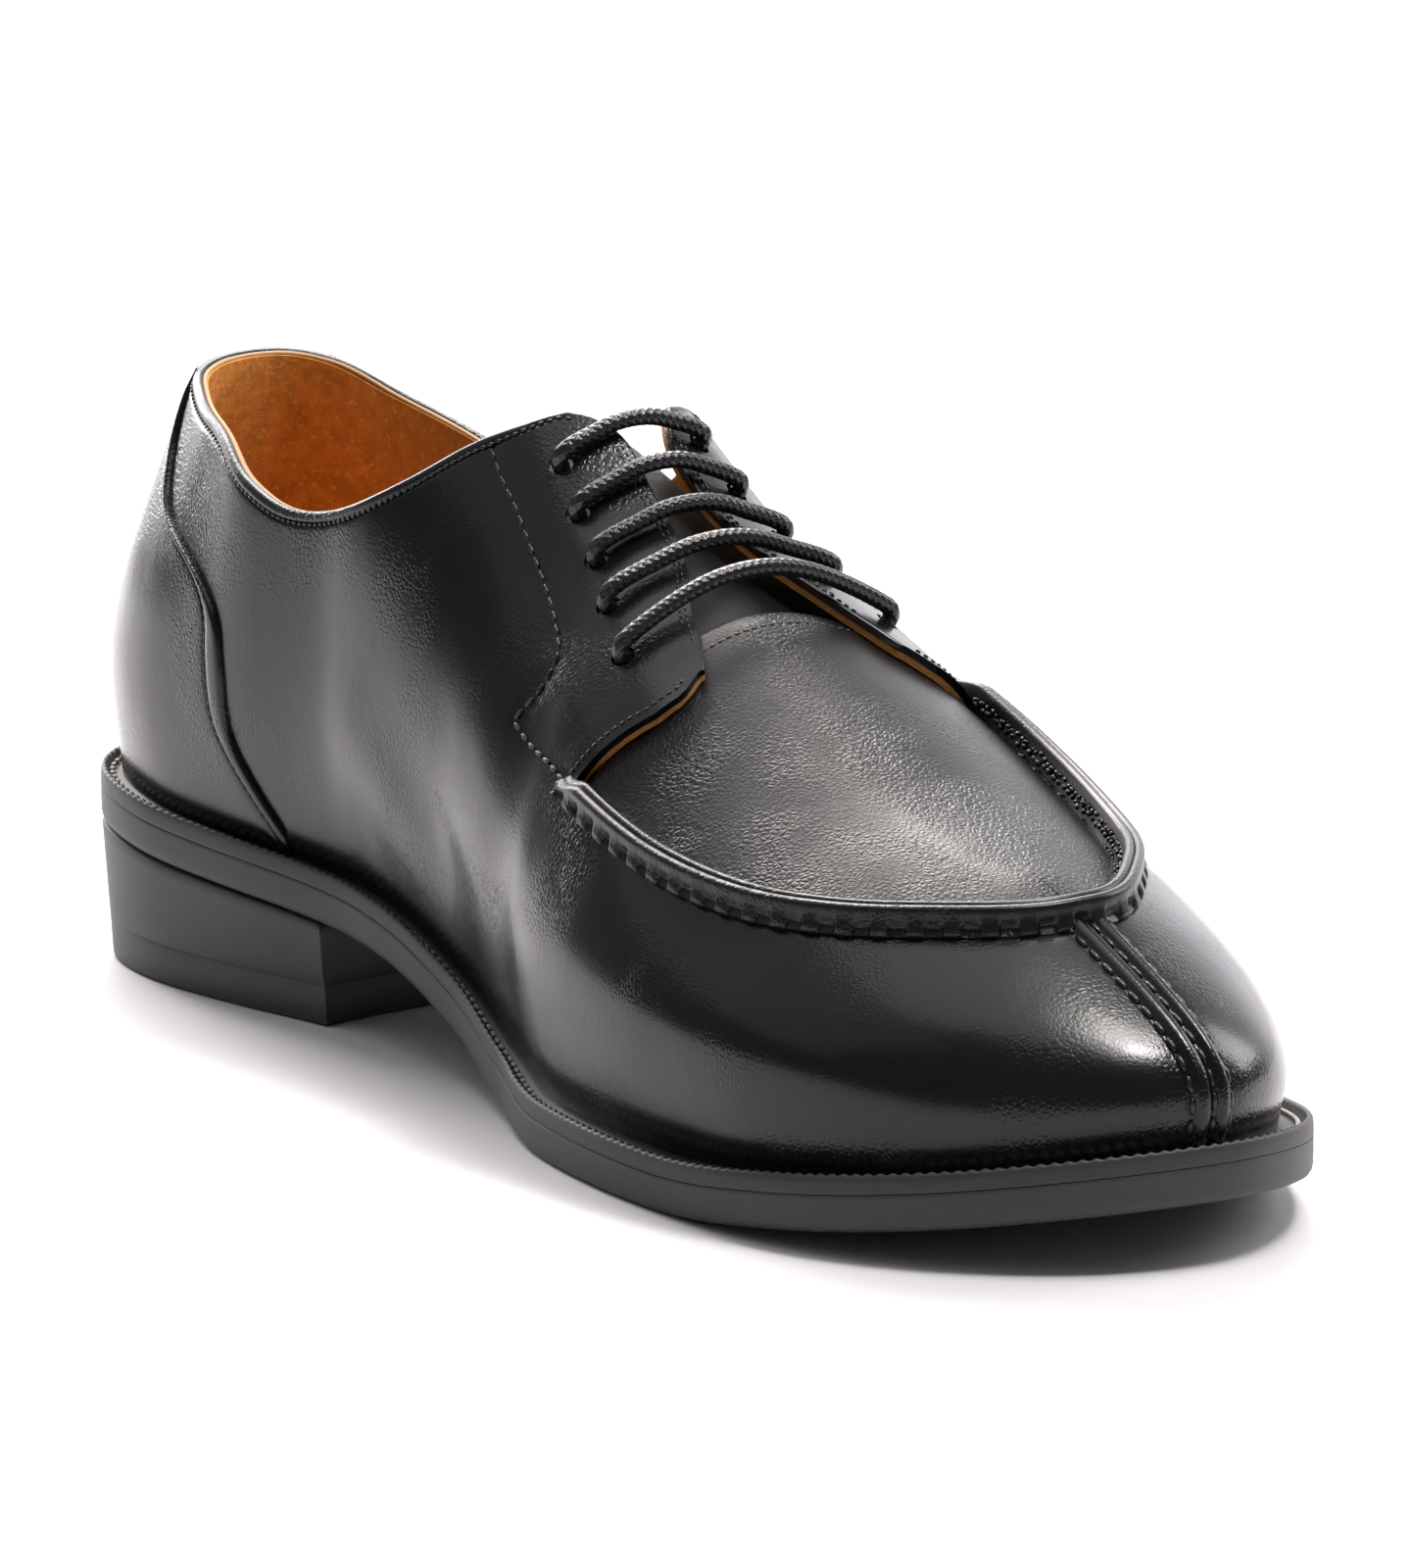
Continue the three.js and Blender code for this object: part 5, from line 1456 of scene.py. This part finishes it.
class Shader:
    """The nodes of a material or of the world, made one by one with add()."""

    def __init__(self, owner, surface="Principled BSDF", place="Object"):
        self.owner = owner
        owner.use_nodes = True
        self.tree = owner.node_tree
        self.surface = self.tree.nodes[surface]
        self.place = self.add("TexCoord", output=place)

    def add(self, kind, settings=None, inputs=(), output=0):
        """Adds a node with its settings and its inputs, by order or by name, and returns a socket."""
        node = self.tree.nodes.new("ShaderNode" + kind)
        for key, value in (settings or {}).items():
            setattr(node, key, value)
        pairs = inputs.items() if isinstance(inputs, dict) else enumerate(inputs)
        for key, value in pairs:
            self.fill(node.inputs[key], value)
        return Value(self, node.outputs[output])

    def fill(self, socket, value):
        """Links a socket to a value, or sets it."""
        if isinstance(value, Value):
            self.tree.links.new(value.socket, socket)
        else:
            socket.default_value = value

    def scaled(self, factor):
        """Place in millimetres, times one factor for each axis."""
        sizes = [1000.0 * f for f in factor]
        return self.add("VectorMath", {"operation": "MULTIPLY"}, [self.place, sizes])

    def along(self, direction):
        """How far the place reaches in a direction: their dot product."""
        return self.add("VectorMath", {"operation": "DOT_PRODUCT"}, [self.place, direction], "Value")

    def noise(self, place, scale, detail=2.0, rough=0.5):
        """Soft random waves, 0 to 1."""
        inputs = {"Vector": place, "Scale": scale, "Detail": detail, "Roughness": rough}
        return self.add("TexNoise", {}, inputs)

    def cells(self, place, scale, feature="F1"):
        """Distance from the middle or the edge of random cells."""
        return self.add("TexVoronoi", {"feature": feature}, {"Vector": place, "Scale": scale}, "Distance")

    def mix(self, factor, first, second):
        """Two colours mixed by a factor."""
        return self.add("Mix", {"data_type": "RGBA"}, {0: factor, 6: first, 7: second}, 2)

    def bump(self, height):
        """A normal from a height in millimetres."""
        return self.add("Bump", {}, {"Height": height * 0.001, "Distance": 1.0, "Strength": 1.0})

    def finish(self, **inputs):
        """Sets or links the surface's own inputs and returns the material or world."""
        for key, value in inputs.items():
            self.fill(self.surface.inputs[key.replace("_", " ")], value)
        return self.owner


def new_shader(name):
    """The nodes of a new material."""
    return Shader(bpy.data.materials.new(name))


def colour(value, strength=1.0):
    """A colour's three numbers times a strength, with full alpha."""
    return tuple(strength * part for part in tuple(value)[:3]) + (1.0,)


def calf(settings, name, grain=1.0, dull=0.0, coat=0.12, shine=0.32):
    """Black polished calf: near-black, a fine pebbled grain in patches, pores and soft waves."""
    s = new_shader(name)
    place = s.scaled((1.0, 1.0, 1.0))
    pebble = s.cells(place, 1.0, "DISTANCE_TO_EDGE").ramp(0.0, 0.32)
    patch = s.noise(place, 0.045, 2.0, 0.5).ramp(0.38, 0.7) * 0.9 + 0.1
    pores = s.noise(place, 2.2, 3.0, 0.6)
    waves = s.noise(s.scaled((1.0, 1.0, 0.7)), 0.075, 2.0, 0.45) + s.noise(place, 0.3, 2.0, 0.5) * 0.12
    grained = (pebble * patch * 0.05 + pores * 0.03) * (settings.grain_depth * grain)
    rough = s.noise(place, 0.045, 2.0, 0.5) * 0.05 + (settings.leather_roughness + dull)
    return s.finish(
        Base_Color=colour(settings.leather_colour), Roughness=rough,
        Normal=s.bump(grained + waves * settings.wave_depth),
        Coat_Weight=coat, Coat_Roughness=0.1, Specular_IOR_Level=shine)


def twisted(settings, name, base, roughness, scale, depth):
    """Waxed lace or thread: uneven roughness and a fine fibrous bump."""
    s = new_shader(name)
    place = s.scaled((1.0, 1.0, 1.0))
    rough = s.noise(place, 0.6, 3.0, 0.55) * 0.12 + (roughness - 0.06)
    return s.finish(Base_Color=colour(base), Roughness=rough,
                    Normal=s.bump(s.noise(place, scale, 3.0, 0.6) * depth))


def suede(settings, name):
    """Tan lining: mottled and speckled, with painted light and shade: lighter towards the heel and higher up,
    darker low down and forward, and its light flecks painted stronger where it is lighter.
    """
    s = new_shader(name)
    place = s.scaled((1.0, 1.0, 1.0))
    # Painted light and shade: the lining is painted lighter towards the heel and higher up, and darker low
    # down and forward.
    back = 1 - s.along((1000.0, 0.0, 0.0)).ramp(-138.0, -88.0)
    high = s.along((0.0, 0.0, 1000.0)).ramp(66.0, 100.0)
    light = back * (high * 0.35 + 0.65)
    spots = s.noise(place, 0.3, 4.0, 0.65).ramp(0.3, 0.7)
    base = s.mix(light, colour(settings.lining_colour, 0.4), colour(settings.lining_colour, 1.15))
    shade = s.mix(spots * 0.55, base, colour(settings.lining_colour, 0.5))
    # Real light flecks, painted brighter where the painted light is stronger.
    flecks_and_painted_light = s.noise(place, 0.9, 2.0, 0.5).ramp(0.57, 0.7) * (light * 0.6 + 0.1)
    height = s.noise(place, 0.9, 3.0, 0.6) * 0.16
    return s.finish(Base_Color=s.mix(flecks_and_painted_light, shade, (1.0, 0.62, 0.22, 1.0)), Roughness=0.85,
                    Normal=s.bump(height))


def edge_finish(settings, name, coarse=0.02):
    """Waxed leather edge: satin, with faint layers along it and a little dust near the toe."""
    s = new_shader(name)
    place = s.scaled((1.0, 1.0, 1.0))
    layers = s.noise(s.scaled((0.05, 0.05, 1.6)), 1.0, 3.0, 0.6)
    fine = s.noise(place, 1.1, 3.0, 0.6)
    near_toe = s.along((1000.0, 0.0, 0.0)).ramp(95.0, 150.0)
    specks = 1 - s.cells(place, 0.55).ramp(0.1, 0.24)
    dust = specks * near_toe * s.noise(place, 0.25, 2.0, 0.5).ramp(0.5, 0.6)
    streaks = s.mix(layers.ramp(0.35, 0.7), colour(settings.edge_colour), colour(settings.edge_colour, 2.2))
    return s.finish(Base_Color=s.mix(dust, streaks, (0.3, 0.29, 0.28, 1.0)), Roughness=layers * 0.2 + 0.26,
                    Normal=s.bump(layers * 0.06 + fine * coarse), Coat_Weight=0.2, Coat_Roughness=0.2)


FINISHES = {
    "black_calf": calf,
    "apron_calf": partial(calf, grain=2.3, dull=0.11, coat=0.05),
    "trim_calf": partial(calf, grain=1.6, dull=0.1, coat=0.05),
    "tongue_calf": partial(calf, grain=1.3, dull=0.2, coat=0.0, shine=0.16),
    "tan_lining": suede,
    "sole_edge": edge_finish,
    "welt_edge": partial(edge_finish, coarse=0.22),
    "black_lace": lambda settings, name: twisted(settings, name, settings.lace_colour, 0.27, 3.0, 0.05),
    "raw_leather_edge": partial(twisted, base=(0.5, 0.3, 0.15), roughness=0.7, scale=1.5, depth=0.04),
    "black_thread": partial(twisted, base=(0.006, 0.006, 0.0065), roughness=0.35, scale=3.0, depth=0.04),
    "light_thread": lambda settings, name: twisted(settings, name, settings.thread_colour, 0.6, 3.0, 0.04),
}


def look(context, name):
    """The named finish, made the first time it is asked for."""
    return bpy.data.materials.get(name) or FINISHES[name](context.scene.derby_look, name)


# Camera, what it looks at, the toe's bright spot and the collar, in the foot's own millimetres.
EYE = np.array([1829.94, -1153.66, 472.23])
TARGET = np.array([162.2, 0.0, 52.5])
TOE_HIGHLIGHT = np.array([297.1, -10.0, 34.0])
COLLAR = np.array([45.0, 0.0, 85.0])
NEUTRAL = (1.0, 0.975, 1.0)
WARM = (1.0, 0.945, 0.9)


class DerbyLook(bpy.types.PropertyGroup):
    """Colours and surface values a user would change."""
    leather_colour: bpy.props.FloatVectorProperty(
        name="Leather", description="Colour of the calf", subtype="COLOR", size=3,
        default=(0.0045, 0.0045, 0.005))
    leather_roughness: bpy.props.FloatProperty(
        name="Leather roughness", description="Roughness of the polished calf", default=0.2,
        min=0.05, max=1.0, subtype="FACTOR")
    grain_depth: bpy.props.FloatProperty(
        name="Grain depth", description="Strength of the leather's grain", default=1.0, min=0.0, max=3.0)
    wave_depth: bpy.props.FloatProperty(
        name="Wave depth", description="Height of the soft waves in the leather, in millimetres",
        default=0.17, min=0.0, max=3.0)
    lining_colour: bpy.props.FloatVectorProperty(
        name="Lining", description="Colour of the lining", subtype="COLOR", size=3,
        default=(0.88, 0.38, 0.075))
    edge_colour: bpy.props.FloatVectorProperty(
        name="Sole edge", description="Colour of the sole and heel edges", subtype="COLOR", size=3,
        default=(0.034, 0.033, 0.033))
    lace_colour: bpy.props.FloatVectorProperty(
        name="Lace", description="Colour of the lace", subtype="COLOR", size=3,
        default=(0.009, 0.009, 0.0095))
    thread_colour: bpy.props.FloatVectorProperty(
        name="Welt thread", description="Colour of the welt's thread", subtype="COLOR", size=3,
        default=(0.42, 0.39, 0.36))


class DerbySizes(bpy.types.PropertyGroup):
    """Sizes a user would change."""
    lace_diameter: bpy.props.FloatProperty(
        name="Lace", description="Diameter of the round lace", default=0.0029, min=0.001, unit="LENGTH")
    apron_stitch: bpy.props.FloatProperty(
        name="Apron stitch", description="Pitch of the raised seam's big stitches", default=0.0058,
        min=0.002, unit="LENGTH")
    toe_stitch: bpy.props.FloatProperty(
        name="Toe stitch", description="Pitch of the toe seam's stitches", default=0.0036,
        min=0.001, unit="LENGTH")
    facing_stitch: bpy.props.FloatProperty(
        name="Facing stitch", description="Pitch of the stitches round the facings", default=0.0029,
        min=0.001, unit="LENGTH")
    topline_stitch: bpy.props.FloatProperty(
        name="Topline stitch", description="Pitch of the stitches below the topline", default=0.00155,
        min=0.0008, unit="LENGTH")
    welt_stitch: bpy.props.FloatProperty(
        name="Welt stitch", description="Pitch of the welt's light stitches", default=0.0026,
        min=0.001, unit="LENGTH")
    eyelet_radius: bpy.props.FloatProperty(
        name="Eyelet", description="Radius of the eyelet holes in the leather", default=0.0021,
        min=0.001, unit="LENGTH")


class DerbyStage(bpy.types.PropertyGroup):
    """The stage's floor, lens and light."""
    floor_colour: bpy.props.FloatVectorProperty(
        name="Floor", description="Colour of the floor", subtype="COLOR", size=3,
        default=(0.74, 0.73, 0.74))
    lens: bpy.props.FloatProperty(
        name="Lens", description="Camera lens in millimetres", default=288.0, min=20.0, unit="CAMERA")
    light: bpy.props.FloatProperty(
        name="Light", description="Strength of the soft lights", default=1.0, min=0.0)


class DERBY_OT_upper(bpy.types.Operator):
    """Builds the sides, apron, counter, binding, their seams and the lining"""
    bl_idname = "derby.upper"
    bl_label = "Build the upper"

    def execute(self, context):
        sizes = context.scene.derby_sizes
        leather, trim, thread = (look(context, name) for name in ("black_calf", "trim_calf", "black_thread"))
        sides, lining = make_sides(leather, look(context, "tan_lining"))
        punch_eyelets(sides, sizes.eyelet_radius)
        punch_eyelets(lining, sizes.eyelet_radius + 0.0008)
        make_apron(look(context, "apron_calf"), thread)
        make_apron_seam(trim, thread, sizes.apron_stitch * 1000)
        make_toe_seam(leather, thread, sizes.toe_stitch * 1000)
        make_counter(leather, thread)
        make_binding(trim, thread, look(context, "raw_leather_edge"), sizes.topline_stitch * 1000)
        make_facing_thread(thread, sizes.facing_stitch * 1000)
        return {"FINISHED"}


class DERBY_OT_tongue(bpy.types.Operator):
    """Builds the tongue and the lace"""
    bl_idname = "derby.tongue"
    bl_label = "Build the tongue and lace"

    def execute(self, context):
        make_tongue(look(context, "tongue_calf"))
        make_lace(look(context, "black_lace"), context.scene.derby_sizes.lace_diameter * 1000)
        return {"FINISHED"}


class DERBY_OT_sole(bpy.types.Operator):
    """Builds the outsole, welt, heel and insole"""
    bl_idname = "derby.sole"
    bl_label = "Build the sole"

    def execute(self, context):
        edge = look(context, "sole_edge")
        make_outsole(edge)
        pitch = context.scene.derby_sizes.welt_stitch * 1000
        make_welt(look(context, "welt_edge"), look(context, "light_thread"), pitch)
        make_heel(edge)
        make_insole(look(context, "tan_lining"))
        return {"FINISHED"}


def make_floor(material):
    """A flat pale floor, four metres to each side."""
    mesh = bpy.data.meshes.new("floor")
    mesh.from_pydata([(-4, -4, 0), (4, -4, 0), (4, 4, 0), (-4, 4, 0)], [], [(0, 1, 2, 3)])
    mesh.materials.append(material)
    floor = bpy.data.objects.new("floor", mesh)
    bpy.context.scene.collection.objects.link(floor)


def make_light(name, place, aim, size, power, tint):
    """A soft rectangular light that faces the aim."""
    light = bpy.data.lights.new(name, "AREA")
    light.shape = "RECTANGLE"
    light.size, light.size_y = size
    light.energy = power
    light.color = tint
    lamp = bpy.data.objects.new(name, light)
    bpy.context.scene.collection.objects.link(lamp)
    lamp.location = place
    lamp.rotation_euler = (place - aim).to_track_quat("Z", "Y").to_euler()


class DERBY_OT_stage(bpy.types.Operator):
    """Builds the floor, the lights and the camera"""
    bl_idname = "derby.stage"
    bl_label = "Build the stage"

    def execute(self, context):
        scene = context.scene
        stage = scene.derby_stage
        pale = new_shader("pale_floor")
        make_floor(pale.finish(Base_Color=colour(stage.floor_colour), Roughness=0.6))
        eye = Vector(EYE + SHIFT) / 1000
        away = Vector((eye.x, eye.y, 0)).normalized()
        right = Vector((-away.y, away.x, 0))
        middle = Vector((0.0, 0.0, 0.05))
        toe = Vector(TOE_HIGHLIGHT + SHIFT) / 1000
        collar = Vector(COLLAR + SHIFT) / 1000
        up = Vector((0.0, 0.0, 1.0))
        for name, aim, from_aim, size, power, tint in (
                ("overhead", middle, up * 1.3 - away * 0.1, (1.3, 1.0), 6.0, NEUTRAL),
                ("back_softbox", middle, up * 0.92 - away * 0.95 - right * 0.22, (0.85, 0.55), 24.0, WARM),
                ("left_fill", middle, up * 0.95 - right, (1.4, 1.0), 1.6, NEUTRAL),
                ("collar_lamp", collar, up * 0.8 + right * 0.35 + away * 0.15, (0.25, 0.25), 3.5, WARM),
                ("side_strip", middle, up * 0.35 - right * 0.6 - away, (0.3, 0.6), 8.0, NEUTRAL),
                ("right_softbox", middle, up * 0.6 + right - away * 0.5, (0.5, 0.7), 7.0, NEUTRAL),
                ("toe_lamp", toe, up * 0.93 + away * 0.06 + right * 0.35, (0.15, 0.15), 4.5, NEUTRAL)):
            make_light(name, aim + from_aim, aim, size, power * stage.light, tint)
        wall = Shader(bpy.data.worlds.new("studio"), "Background", "Generated")
        strength = wall.along(-away).ramp(0.55, 0.98) * 1.85 + 0.15
        scene.world = wall.finish(Color=(0.98, 0.96, 1.0, 1.0), Strength=strength)
        scene.view_settings.view_transform = "Standard"
        camera = bpy.data.cameras.new("camera")
        camera.lens = stage.lens
        camera.clip_end = 30
        holder = bpy.data.objects.new("camera", camera)
        scene.collection.objects.link(holder)
        holder.location = eye
        target = Vector(TARGET + SHIFT) / 1000
        holder.rotation_euler = (eye - target).to_track_quat("Z", "Y").to_euler()
        scene.camera = holder
        return {"FINISHED"}


class DERBY_PT_panel(bpy.types.Panel):
    """Lists the steps in the 3D view's sidebar"""
    bl_idname = "DERBY_PT_panel"
    bl_label = "Derby shoe"
    bl_space_type = "VIEW_3D"
    bl_region_type = "UI"
    bl_category = "Derby"

    def draw(self, context):
        scene = context.scene
        for group in (scene.derby_look, scene.derby_sizes, scene.derby_stage):
            for key in group.bl_rna.properties.keys():
                if key not in ("rna_type", "name"):
                    self.layout.prop(group, key)
        for step in STEPS:
            self.layout.operator(step.bl_idname)


STEPS = (DERBY_OT_upper, DERBY_OT_tongue, DERBY_OT_sole, DERBY_OT_stage)
CLASSES = (DerbyLook, DerbySizes, DerbyStage) + STEPS + (DERBY_PT_panel,)


def register():
    for kind in CLASSES:
        bpy.utils.register_class(kind)
    bpy.types.Scene.derby_look = bpy.props.PointerProperty(type=DerbyLook)
    bpy.types.Scene.derby_sizes = bpy.props.PointerProperty(type=DerbySizes)
    bpy.types.Scene.derby_stage = bpy.props.PointerProperty(type=DerbyStage)


def unregister():
    del bpy.types.Scene.derby_stage
    del bpy.types.Scene.derby_sizes
    del bpy.types.Scene.derby_look
    for kind in reversed(CLASSES):
        bpy.utils.unregister_class(kind)


def main():
    register()
    bpy.ops.derby.upper()
    bpy.ops.derby.tongue()
    bpy.ops.derby.sole()
    bpy.ops.derby.stage()


if __name__ == "__main__":
    main()
